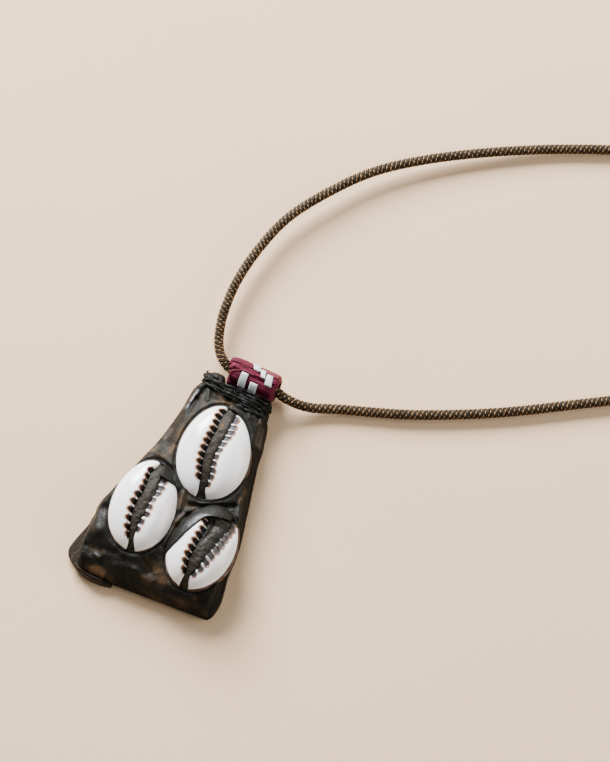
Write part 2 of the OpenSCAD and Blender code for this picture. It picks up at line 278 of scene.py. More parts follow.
def skirt(bm: bmesh.types.BMesh, *drops: Callable[[np.ndarray], Sequence[float]]) -> None:
    """Closes an open sheet downwards, ring by ring, and fills the last ring.

    Args:
        bm: a mesh with one open edge loop.
        *drops: for each ring, a function from a vertex's place in millimetres to its new place.
    """
    edges = [e for e in bm.edges if e.is_boundary]
    for drop in drops:
        made = bmesh.ops.extrude_edge_only(bm, edges=edges)["geom"]
        edges = [g for g in made if isinstance(g, bmesh.types.BMEdge) and g.is_boundary]
        verts = {v for e in edges for v in e.verts}
        for v in verts:
            v.co = Vector(drop(np.array(v.co) / MM)) * MM
    bmesh.ops.holes_fill(bm, edges=edges, sides=0)


def paint(bm: bmesh.types.BMesh, verts: Sequence[bmesh.types.BMVert], **marks: np.ndarray) -> None:
    """Keeps numbers for each vertex, which a finish can read by their names.

    Args:
        bm: the mesh.
        verts: its vertices.
        **marks: one number for each vertex, in their order, under each name.
    """
    for name, values in marks.items():
        layer = bm.verts.layers.float[name]
        for v, value in zip(verts, np.ravel(values)):
            v[layer] = float(value)


def outward(bm: bmesh.types.BMesh) -> None:
    """Turns the faces outwards and shades them smooth."""
    bmesh.ops.recalc_face_normals(bm, faces=bm.faces)
    if bm.calc_volume(signed=True) < 0:
        bmesh.ops.reverse_faces(bm, faces=bm.faces)
    for f in bm.faces:
        f.smooth = True


def placed(bm: bmesh.types.BMesh, name: str, materials: Sequence[bpy.types.Material]) -> bpy.types.Object:
    """Makes an object of a mesh, at the origin.

    Args:
        bm: the mesh, which is freed.
        name: the object's name.
        materials: its finishes, in the order of the faces' indices.

    Returns:
        The object.
    """
    mesh = bpy.data.meshes.new(name)
    bm.to_mesh(mesh)
    bm.free()
    for m in materials:
        mesh.materials.append(m)
    made = bpy.data.objects.new(name, mesh)
    bpy.context.scene.collection.objects.link(made)
    return made


def finished(bm: bmesh.types.BMesh, name: str, *materials: bpy.types.Material) -> bpy.types.Object:
    """Makes a piece of a mesh, which rides on the root body.

    Args:
        bm: the mesh, which is freed.
        name: the piece's name.
        *materials: its finishes, in the order of the faces' indices.

    Returns:
        The piece.
    """
    made = placed(bm, name, materials)
    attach(made, "root")
    LOG.info("%s: %d faces", name, len(made.data.polygons))
    return made


# Finishes


class Value:
    """A shader socket that takes part in sums, written as Python expressions."""

    def __init__(self, recipe: "Recipe", socket: bpy.types.NodeSocket) -> None:
        """Wraps one output socket of a recipe's nodes."""
        self.recipe = recipe
        self.socket = socket

    def _sum(self, operation: str, *terms: Any) -> "Value":
        """Adds one Math node over the terms."""
        node = self.recipe.node("ShaderNodeMath", {"operation": operation}, dict(enumerate(terms)))
        return Value(self.recipe, node.outputs[0])

    def __add__(self, other: Any) -> "Value":
        """Self + other."""
        return self._sum("ADD", self, other)

    def __radd__(self, other: Any) -> "Value":
        """Other + self."""
        return self._sum("ADD", other, self)

    def __sub__(self, other: Any) -> "Value":
        """Self - other."""
        return self._sum("SUBTRACT", self, other)

    def __rsub__(self, other: Any) -> "Value":
        """Other - self."""
        return self._sum("SUBTRACT", other, self)

    def __mul__(self, other: Any) -> "Value":
        """Self * other."""
        return self._sum("MULTIPLY", self, other)

    def __rmul__(self, other: Any) -> "Value":
        """Other * self."""
        return self._sum("MULTIPLY", other, self)

    def ramp(self, low: float, high: float) -> "Value":
        """Smooth step from 0 to 1.

        Args:
            low: where it starts to rise.
            high: where it is full.

        Returns:
            The step.
        """
        node = self.recipe.node(
            "ShaderNodeMapRange",
            {"interpolation_type": "SMOOTHSTEP", "clamp": True},
            {"Value": self, "From Min": low, "From Max": high},
        )
        return Value(self.recipe, node.outputs["Result"])

    def clamped(self) -> "Value":
        """Kept between 0 and 1."""
        node = self.recipe.node("ShaderNodeClamp", {}, {"Value": self})
        return Value(self.recipe, node.outputs[0])


class Recipe:
    """The nodes of one material."""

    def __init__(self, name: str) -> None:
        """Starts an empty material with one shader.

        Args:
            name: the material's name.
        """
        self.material = bpy.data.materials.new(name)
        self.material.use_nodes = True
        self.tree = self.material.node_tree
        self.tree.nodes.clear()
        self.shader = self.node("ShaderNodeBsdfPrincipled", {}, {})
        self.node("ShaderNodeOutputMaterial", {}, {"Surface": self.shader.outputs[0]})

    def node(self, kind: str, settings: dict[str, Any], inputs: dict[Any, Any]) -> bpy.types.Node:
        """Adds one node.

        Args:
            kind: the node's type.
            settings: its properties, set before its sockets.
            inputs: value or link of each named or numbered socket.

        Returns:
            The node.
        """
        made = self.tree.nodes.new(kind)
        for key, value in settings.items():
            setattr(made, key, value)
        for key, value in inputs.items():
            self.feed(made.inputs[key], value)
        return made

    def feed(self, socket: bpy.types.NodeSocket, value: Any) -> None:
        """Gives a socket its link, its colour or its number.

        Args:
            socket: the input socket.
            value: a shader value, an output socket, a colour or a number.
        """
        if isinstance(value, Value):
            value = value.socket
        if isinstance(value, bpy.types.NodeSocket):
            self.tree.links.new(value, socket)
        elif socket.type == "RGBA" and len(value) == 3:
            socket.default_value = (*value, 1.0)
        else:
            socket.default_value = value

    def place(self, scale: tuple[float, float, float] = (1.0, 1.0, 1.0)) -> bpy.types.NodeSocket:
        """Place on the piece in millimetres, stretched by a scale."""
        where = self.node("ShaderNodeTexCoord", {}, {}).outputs["Object"]
        stretch = tuple(s / MM for s in scale)
        return self.node("ShaderNodeMapping", {}, {"Vector": where, "Scale": stretch}).outputs[0]

    def spots(self, size: float, detail: float = 3.0, roughness: float = 0.55, seed: float = 0.0,
              stretch: tuple[float, float, float] = (1.0, 1.0, 1.0)) -> Value:
        """Soft noise from 0 to 1.

        Args:
            size: rough width of one spot, in millimetres.
            detail: finer layers.
            roughness: share of the finer layers.
            seed: shifts the pattern.
            stretch: scale of each axis.

        Returns:
            The noise.
        """
        where = self.node("ShaderNodeVectorMath", {"operation": "ADD"},
                          {0: self.place(stretch), 1: (seed * 31.7, seed * 11.3, seed * 5.9)}).outputs[0]
        node = self.node("ShaderNodeTexNoise", {"noise_dimensions": "3D"},
                         {"Vector": where, "Scale": 1.0 / size, "Detail": detail, "Roughness": roughness})
        return Value(self, node.outputs[0])

    def cells(self, size: float) -> Value:
        """Distance to the nearest point of a scatter, for pores."""
        node = self.node("ShaderNodeTexVoronoi", {"feature": "SMOOTH_F1"},
                         {"Vector": self.place(), "Scale": 1.0 / size, "Smoothness": 0.4})
        return Value(self, node.outputs["Distance"])

    def painted(self, name: str) -> Value:
        """A number that was kept on the mesh's vertices."""
        node = self.node("ShaderNodeAttribute", {"attribute_name": name, "attribute_type": "GEOMETRY"}, {})
        return Value(self, node.outputs["Fac"])

    def blend(self, amount: Any, low: Any, high: Any) -> bpy.types.NodeSocket:
        """Mixes two colours.

        Args:
            amount: share of the second colour, from 0 to 1.
            low: colour at 0.
            high: colour at 1.

        Returns:
            The mixed colour's socket.
        """
        # Sockets of a Mix node for colours: its factor, its two colours and their mix
        settings = {"data_type": "RGBA", "clamp_factor": True}
        return self.node("ShaderNodeMix", settings, {0: amount, 6: low, 7: high}).outputs[2]

    def relief(self, height: Value, distance: float) -> bpy.types.NodeSocket:
        """Bump from a height from 0 to 1, whose full height is a distance in millimetres."""
        inputs = {"Height": height, "Distance": distance * MM, "Strength": 1.0}
        return self.node("ShaderNodeBump", {}, inputs).outputs[0]

    def finish(self, **sockets: Any) -> bpy.types.Material:
        """Sets the shader's sockets, named with underscores for spaces.

        Args:
            **sockets: value or link of each socket.

        Returns:
            The finished material.
        """
        for key, value in sockets.items():
            self.feed(self.shader.inputs[key.replace("_", " ")], value)
        return self.material


@dataclass(frozen=True)
class WaxedLeather:
    """Dark waxed leather with grain, brown patches and scuffs down to the tan hide."""

    name: str = "waxed_leather"
    dark: Colour = (0.0052, 0.0048, 0.0034)
    brown: Colour = (0.031, 0.0195, 0.0100)
    tan: Colour = (0.125, 0.070, 0.034)
    rough_low: float = 0.36
    relief: float = 0.13
    browning: float = 0.56
    seed: float = 0.0

    def make(self) -> bpy.types.Material:
        """Builds the material.

        Returns:
            The material.
        """
        r = Recipe(self.name)
        wear = r.painted("wear")
        wall = r.painted("wall")
        polish = r.painted("polish")
        broad = r.spots(6.0, 3.0, 0.6, self.seed)
        patch = r.spots(1.5, 6.0, 0.7, self.seed + 1)
        speck = r.spots(0.55, 4.0, 0.7, self.seed + 3)
        fine = r.spots(0.2, 3.0, 0.65, self.seed + 2)
        pores = r.cells(0.42)
        stains = broad * 0.35 + patch * 0.45 + speck * 0.25 + wear * 0.5
        browned = stains.ramp(self.browning, self.browning + 0.3)
        tanned = (wear * 0.62 + patch * 0.3 + speck * 0.55).ramp(0.78, 1.12)
        colour = r.blend(browned, self.dark, self.brown)
        colour = r.blend(tanned, colour, self.tan)
        colour = r.blend((pores * 1.6 - 0.62).clamped() * 0.6, colour, self.dark)
        colour = r.blend((fine * 2.0 - 1.0).clamped() * 0.45, colour, self.dark)
        gloss = self.rough_low + patch * 0.2 + tanned * 0.2 + fine * 0.12 + wall * 0.4
        height = pores * 0.4 + fine * 0.45 + speck * 0.5 + patch * 1.1
        return r.finish(
            Base_Color=colour, Roughness=gloss.clamped(), Specular_IOR_Level=0.13,
            Coat_Weight=(polish * (0.2 + patch * 0.8)).clamped(), Coat_Roughness=0.28,
            Normal=r.relief(height, self.relief),
        )


@dataclass(frozen=True)
class Porcelain:
    """Polished cowrie shell, stained brown along the leather and in its grooves, with painted shade grey in
    its grooves and black of leather and painted shade in its notches and mouth.
    """

    name: str
    white: Colour = (0.86, 0.85, 0.84)
    blush: Colour = (0.81, 0.75, 0.735)
    cool: Colour = (0.78, 0.80, 0.83)
    amber: Colour = (0.20, 0.075, 0.020)
    umber: Colour = (0.040, 0.015, 0.006)
    # Black of the dark leather left in the notches and the mouth, together with painted shade
    black: Colour = (0.004, 0.0028, 0.0022)
    # Grey painted as shade in the right lip's grooves
    groove_shade_grey: Colour = (0.075, 0.077, 0.092)
    soot: Colour = (0.030, 0.026, 0.024)

    def make(self) -> bpy.types.Material:
        """Builds the material.

        Returns:
            The material.
        """
        r = Recipe(self.name)
        notch = r.painted("notch")
        channel = r.painted("channel")
        fringe = r.painted("fringe")
        hem = r.painted("hem")
        outline = r.painted("outline")
        smoke = r.painted("smoke")
        broad = r.spots(9.0, 2.0, 0.5, 1.0)
        patch = r.spots(2.2, 4.0, 0.6, 2.0)
        colour = r.blend(broad.ramp(0.35, 0.7), self.white, self.blush)
        colour = r.blend(patch.ramp(0.5, 0.8) * 0.35, colour, self.cool)
        colour = r.blend((fringe * (0.8 + patch * 0.4)).clamped(), colour, self.amber)
        colour = r.blend((hem * (0.7 + patch * 0.6)).clamped(), colour, self.umber)
        colour = r.blend((smoke * (0.55 + patch * 0.7)).clamped(), colour, self.soot)
        # The grooves' painted shade grey, turned towards soot where the lip is smoky
        groove_shade_grey = r.blend(patch.ramp(0.4, 0.62) * (1.1 - smoke).clamped(), self.soot, self.groove_shade_grey)
        colour = r.blend(channel, colour, groove_shade_grey)
        colour = r.blend((outline * (0.5 + patch * 0.8)).clamped(), colour, self.umber)
        # Notches and mouth painted black: dark leather and painted shade
        colour = r.blend(notch, colour, self.black)
        dull = notch + channel + hem
        return r.finish(
            Base_Color=colour, Roughness=(0.16 + patch * 0.1 + dull * 0.6).clamped(),
            Specular_IOR_Level=0.4, Coat_Weight=(0.35 - dull * 0.35).clamped(), Coat_Roughness=0.08,
            Subsurface_Weight=0.3, Subsurface_Radius=(1.0, 0.8, 0.7), Subsurface_Scale=0.8 * MM,
            Normal=r.relief(patch * 0.6 + broad * 0.4, 0.03),
        )


@dataclass(frozen=True)
class WaxedThread:
    """Waxed black fibre: glossy, with fine strands along it."""

    name: str = "waxed_thread"
    dark: Colour = (0.0024, 0.0027, 0.0020)
    light: Colour = (0.0085, 0.0095, 0.0070)

    def make(self) -> bpy.types.Material:
        """Builds the material.

        Returns:
            The material.
        """
        r = Recipe(self.name)
        strands = r.spots(0.35, 4.0, 0.7, 1.0, (0.35, 1.0, 1.0))
        patch = r.spots(1.4, 3.0, 0.6, 2.0)
        colour = r.blend((strands * 0.7 + patch * 0.5).ramp(0.45, 0.85), self.dark, self.light)
        gloss = (0.24 + strands * 0.3).clamped()
        relief = r.relief(strands, 0.18)
        return r.finish(Base_Color=colour, Roughness=gloss, Specular_IOR_Level=0.14, Normal=relief)


@dataclass(frozen=True)
class WoundThread:
    """Maroon thread laid side by side, faded to salmon where the light has reached it."""

    name: str = "maroon_thread"
    deep: Colour = (0.010, 0.0009, 0.0026)
    bright: Colour = (0.120, 0.0030, 0.024)
    faded: Colour = (0.15, 0.030, 0.036)

    def make(self) -> bpy.types.Material:
        """Builds the material.

        Returns:
            The material.
        """
        r = Recipe(self.name)
        tint = r.painted("tint")
        fluff = r.spots(0.2, 4.0, 0.7, 1.0)
        patch = r.spots(1.1, 3.0, 0.6, 2.0)
        light = (tint * 0.4 + fluff * 1.2 + patch * 0.5).ramp(0.74, 1.2)
        colour = r.blend(light, self.deep, self.bright)
        colour = r.blend((r.painted("faded") * (0.4 + fluff)).clamped(), colour, self.faded)
        return r.finish(Base_Color=colour, Roughness=(0.42 + fluff * 0.3).clamped(), Specular_IOR_Level=0.16,
                        Normal=r.relief(fluff, 0.12))


@dataclass(frozen=True)
class WhiteStrip:
    """Smooth white strip with a faint woven grain."""

    name: str = "white_strip"
    dull: Colour = (0.40, 0.43, 0.45)
    clean: Colour = (0.52, 0.55, 0.56)

    def make(self) -> bpy.types.Material:
        """Builds the material.

        Returns:
            The material.
        """
        r = Recipe(self.name)
        grain = r.spots(0.2, 3.0, 0.6, 1.0)
        patch = r.spots(1.2, 3.0, 0.6, 2.0)
        colour = r.blend((grain * 0.5 + patch * 0.5).ramp(0.35, 0.7), self.dull, self.clean)
        return r.finish(Base_Color=colour, Roughness=0.42, Normal=r.relief(grain, 0.03))


@dataclass(frozen=True)
class Yarn:
    """Dull spun yarn of the neck cord, with shade painted into the creases between its beads."""

    name: str
    deep: Colour
    light: Colour
    # Colour of the painted shade in the creases between a tan strand's beads
    between: Colour = (0.006, 0.0045, 0.0032)

    def make(self) -> bpy.types.Material:
        """Builds the material.

        Returns:
            The material.
        """
        r = Recipe(self.name)
        fluff = r.spots(0.16, 4.0, 0.7, 1.0)
        patch = r.spots(3.0, 2.0, 0.6, 2.0)
        colour = r.blend((fluff * 0.7 + patch * 0.3).ramp(0.35, 0.7), self.deep, self.light)
        colour = r.blend(r.painted("between"), colour, self.between)
        return r.finish(Base_Color=colour, Roughness=0.7, Specular_IOR_Level=0.15,
                        Normal=r.relief(fluff, 0.07))


@dataclass(frozen=True)
class WornBrass:
    """Dull brass with brown tarnish and fine scratches."""

    name: str = "worn_brass"
    clean: Colour = (0.58, 0.42, 0.19)
    brown: Colour = (0.20, 0.13, 0.06)

    def make(self) -> bpy.types.Material:
        """Builds the material.

        Returns:
            The material.
        """
        r = Recipe(self.name)
        patch = r.spots(1.8, 4.0, 0.6, 1.0)
        scratch = r.spots(0.3, 4.0, 0.7, 2.0, (0.15, 1.0, 1.0))
        tarnish = (patch * 0.8 + scratch * 0.4).ramp(0.5, 0.85)
        colour = r.blend(tarnish, self.clean, self.brown)
        gloss = (0.26 + tarnish * 0.22 + scratch * 0.1).clamped()
        return r.finish(Base_Color=colour, Metallic=1.0, Roughness=gloss, Normal=r.relief(scratch, 0.02))


@dataclass(frozen=True)
class PaleFloor:
    """Plain pale paper surface."""

    name: str = "pale_floor"
    tint: Colour = (0.70, 0.49, 0.305)
    shade: float = 0.965

    def make(self) -> bpy.types.Material:
        """Builds the material.

        Returns:
            The material.
        """
        r = Recipe(self.name)
        grain = r.spots(0.5, 4.0, 0.6, 1.0)
        wide = r.spots(60.0, 2.0, 0.5, 2.0)
        deep = tuple(c * self.shade for c in self.tint)
        colour = r.blend((grain * 0.4 + wide * 0.6).ramp(0.35, 0.65), deep, self.tint)
        relief = r.relief(grain, 0.05)
        return r.finish(Base_Color=colour, Roughness=0.85, Specular_IOR_Level=0.2, Normal=relief)


# The set: camera, floor and light


@dataclass
class Studio:
    """Camera at the photograph's angle, a pale floor and soft window light from the upper left."""

    azimuth: float = 25.0
    elevation: float = 70.0
    distance: float = 600.0
    target: tuple[float, float, float] = (12.9, 34.2, 0.0)
    lens: float = 119.055
    sensor: float = 36.0
    floor_size: float = 2400.0
    # Towards each lamp: right in the picture, away from the camera, up; then width, distance and power
    window: tuple[float, ...] = (-0.34, 0.96, 0.58, 620.0, 1000.0, 60.5)
    bounce: tuple[float, ...] = (0.85, -0.15, 0.55, 700.0, 1000.0, 8.0)
    fill: float = 0.32
    # Colours of the window, the bounce and the room
    window_tint: Colour = (0.97, 0.985, 1.0)
    bounce_tint: Colour = (1.0, 0.98, 0.95)
    room_tint: Colour = (1.0, 0.985, 0.965)

    def aim(self, name: str, data: Any, way: Vector, distance: float) -> bpy.types.Object:
        """Puts a camera or lamp at a distance from the target, looking at it.

        Args:
            name: the object's name.
            data: its camera or light data.
            way: unit direction from the target to it.
            distance: its distance in millimetres.

        Returns:
            The object.
        """
        made = bpy.data.objects.new(name, data)
        made.location = (Vector(self.target) + way * distance) * MM
        made.rotation_mode = "QUATERNION"
        made.rotation_quaternion = (-way).to_track_quat("-Z", "Y")
        bpy.context.scene.collection.objects.link(made)
        return made

    def camera(self) -> None:
        """Makes the camera and sets it as the scene's."""
        a, e = math.radians(self.azimuth), math.radians(self.elevation)
        back = Vector((math.sin(a) * math.cos(e), -math.cos(a) * math.cos(e), math.sin(e)))
        data = bpy.data.cameras.new("view")
        data.sensor_width = self.sensor
        data.lens = self.lens
        data.clip_start, data.clip_end = 0.01, 20.0
        bpy.context.scene.camera = self.aim("view", data, back, self.distance)

    def lamp(self, name: str, place: tuple[float, ...], tint: Colour) -> None:
        """Makes one soft lamp.

        Args:
            name: its name.
            place: its direction from the target, width, distance and power.
            tint: its colour.
        """
        a = math.radians(self.azimuth)
        right = Vector((math.cos(a), math.sin(a), 0.0))
        away = Vector((-math.sin(a), math.cos(a), 0.0))
        side, back, up, width, distance, power = place
        way = (right * side + away * back + Vector((0.0, 0.0, up))).normalized()
        data = bpy.data.lights.new(name, "AREA")
        data.shape = "RECTANGLE"
        data.size, data.size_y = width * MM, width * 0.8 * MM
        data.energy = power
        data.color = tint
        self.aim(name, data, way, distance)

    def lights(self) -> None:
        """Makes the window light, its bounce and the room's even light."""
        self.lamp("window", self.window, self.window_tint)
        self.lamp("bounce", self.bounce, self.bounce_tint)
        world = bpy.data.worlds.new("room")
        world.use_nodes = True
        glow = world.node_tree.nodes["Background"]
        glow.inputs["Color"].default_value = (*self.room_tint, 1.0)
        glow.inputs["Strength"].default_value = self.fill
        bpy.context.scene.world = world

    def floor(self) -> None:
        """Lays the floor, which isn't part of the object."""
        bm = bmesh.new()
        bmesh.ops.create_grid(bm, x_segments=2, y_segments=2, size=self.floor_size / 2 * MM)
        made = placed(bm, "floor", [PaleFloor().make()])


# The pieces


@dataclass
class NeckCord:
    """Neck cord twisted from tan and black yarns, along its whole lying loop."""

    route: Table = (
        (158, 116, 2.7), (158, 121, 2.7), (157, 127, 2.2), (153.5, 133.5, 1.6), (147, 139, 1.4),
        (138, 142, 1.4), (127, 142.8, 1.4), (114, 140.5, 1.4), (100, 136.4, 1.4), (85, 131.2, 1.4),
        (70, 125.6, 1.4), (55.5, 120.2, 1.4), (41, 113.5, 1.5), (27, 105.6, 2), (14.9, 97.5, 2.6),
        (5.3, 89.2, 3.2), (-2.2, 79.5, 3.6), (-8, 69.5, 3.8), (-10.9, 59.4, 3.9), (-12.1, 49.3, 4),
        (-11.5, 40.7, 4.1), (-10.1, 35.2, 4.3), (-8.5, 31.7, 4.4), (-6.3, 29.3, 4.5), (-3.3, 27.95, 4.5),
        (1.5, 27.75, 4.5), (7.8, 27.6, 4.45), (11.6, 27.1, 3.5), (17, 28, 1.9), (24, 30.9, 1.4),
        (40, 36.9, 1.4), (58, 45.9, 1.4), (76, 56.9, 1.4), (94, 68, 1.4), (112, 76.6, 1.4), (130, 82, 1.4),
        (143, 85, 1.5), (152, 89, 2), (157, 95, 2.7), (158, 102, 2.7),
    )
    diameter: float = 2.6
    length: float = 436.5
    pairs: int = 3
    lay_length: float = 3.45
    black_r: float = 0.34
    tan_r: float = 0.27
    # Beads that a tan strand shows in one turn, and how far they stand out
    beads: int = 7
    bead: float = 0.07
    steps_per_turn: int = 28
    sides: int = 6

    def build(self) -> bpy.types.Object:
        """Winds the strands round the route, over a plain core.

        Returns:
            The cord.
        """
        line = even(spline(self.route, 16), self.lay_length / self.steps_per_turn)
        one, two = carried(line, (0.0, 0.0, 1.0))
        way = directions(line)
        along = np.linspace(0.0, 1.0, len(line)) * self.length
        bm = fresh("between")
        loose = rough(np.stack([along, 0 * along, 0 * along], axis=1), 5.0, 3.0, 2)
        for k in range(2 * self.pairs):
            tan = k % 2 == 0
            turn = -2 * np.pi * (along / self.lay_length + k / (2 * self.pairs)) + 0.25 * loose
            swell = np.cos(self.beads * turn + k * 1.7 + 0.8 * loose)
            size = self.tan_r * (1 + 0.2 * swell) if tan else self.black_r * (1 + 0.05 * swell)
            out = np.cos(turn)[:, None] * one + np.sin(turn)[:, None] * two
            ring = self.diameter / 2 - (self.tan_r if tan else self.black_r)
            sunk = self.bead * (1 - swell) if tan else 0 * swell + 0.03
            path = line + (ring - sunk)[:, None] * out
            across = np.cross(way, out)
            across /= np.linalg.norm(across, axis=1)[:, None]
            # Painted shade: the tan strand is darkened in the creases between its beads
            between = ease((0.15 - swell) / 0.7) if tan else 0 * swell
            sweep(bm, path, across, out, size, size * 0.95, self.sides, k % 2, between=between)
        core = line[::8]
        a, b = carried(core, (0.0, 0.0, 1.0))
        middle = self.diameter / 2 - self.black_r
        sweep(bm, core, a, b, middle, middle, 8, 1)
        outward(bm)
        tan_yarn = Yarn("tan_yarn", (0.20, 0.105, 0.044), (0.74, 0.42, 0.20)).make()
        black_yarn = Yarn("black_yarn", (0.012, 0.010, 0.0064), (0.055, 0.044, 0.027)).make()
        made = finished(bm, "twisted_cord", tan_yarn, black_yarn)
        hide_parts("neck_cord")
        return made

    def declare(self) -> None:
        """Works out points every 2 millimetres along the cord's route, and keeps none of them.
        """
        [tuple(p * MM) for p in even(spline(self.route, 16), 2.0)]


@dataclass
class Clasp:
    """Barrel clasp with beaded ends and two knurled bands."""

    start: tuple[float, float, float] = (158.0, 99.0, 2.7)
    length: float = 20.0
    radius: float = 2.7
    bore: float = 1.5
    socket: float = 3.2
    around: int = 96
    knurl: float = 0.09
    ridges: int = 24
    # Where a knurled band starts and ends, from its end of the clasp
    band: tuple[float, float] = (2.2, 6.2)

    def build(self) -> bpy.types.Object:
        """Turns the profile round the barrel's axis and cuts the knurl.

        Returns:
            The clasp.
        """
        n, r = self.length, self.radius
        low, high = self.band
        profile = [
            (self.bore * 0.4, self.socket), (self.bore, self.socket),
            (self.bore, 0.3), (self.bore + 0.25, 0.0), (r - 1.0, 0.0),
            (r - 0.45, 0.35), (r - 0.25, 0.9), (r - 0.45, 1.35), (r - 0.35, 1.7),
            (r - 0.05, low), (r - 0.05, high), (r - 0.3, 6.6), (r - 0.3, 7.0), (r - 0.06, 7.3),
            (r - 0.06, n / 2 - 0.12), (r - 0.3, n / 2),
        ]
        full = profile + [(p[0], n - p[1]) for p in reversed(profile[:-1])]
        bm = bmesh.new()
        x, y, z = self.start
        verts = [bm.verts.new((x * MM, (y + a) * MM, (z + q) * MM)) for q, a in full]
        edges = [bm.edges.new(pair) for pair in zip(verts, verts[1:])]
        bmesh.ops.subdivide_edges(bm, edges=edges, cuts=2)
        bmesh.ops.spin(
            bm, geom=bm.verts[:] + bm.edges[:], cent=(x * MM, y * MM, z * MM), axis=(0, 1, 0),
            angle=2 * math.pi, steps=self.around, use_merge=True,
        )
        bmesh.ops.remove_doubles(bm, verts=bm.verts, dist=1e-7)
        bmesh.ops.holes_fill(bm, edges=[e for e in bm.edges if e.is_boundary], sides=0)
        for v in bm.verts:
            a = v.co.y / MM - y
            far = min(a, n - a)
            dx, dz = v.co.x / MM - x, v.co.z / MM - z
            q = math.hypot(dx, dz)
            if low <= far <= high and q > r - 0.3:
                ridge = 0.5 + 0.5 * math.cos(self.ridges * math.atan2(dz, dx))
                cut = self.knurl * ridge * math.sin(math.pi * (far - low) / (high - low))
                v.co.x -= dx / q * cut * MM
                v.co.z -= dz / q * cut * MM
        outward(bm)
        made = finished(bm, "barrel_clasp", WornBrass().make())
        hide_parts("clasp")
        return made


class Seat(Enum):
    """Which of the packet's three shells one is."""

    TOP = "top"
    LEFT = "left"
    RIGHT = "right"


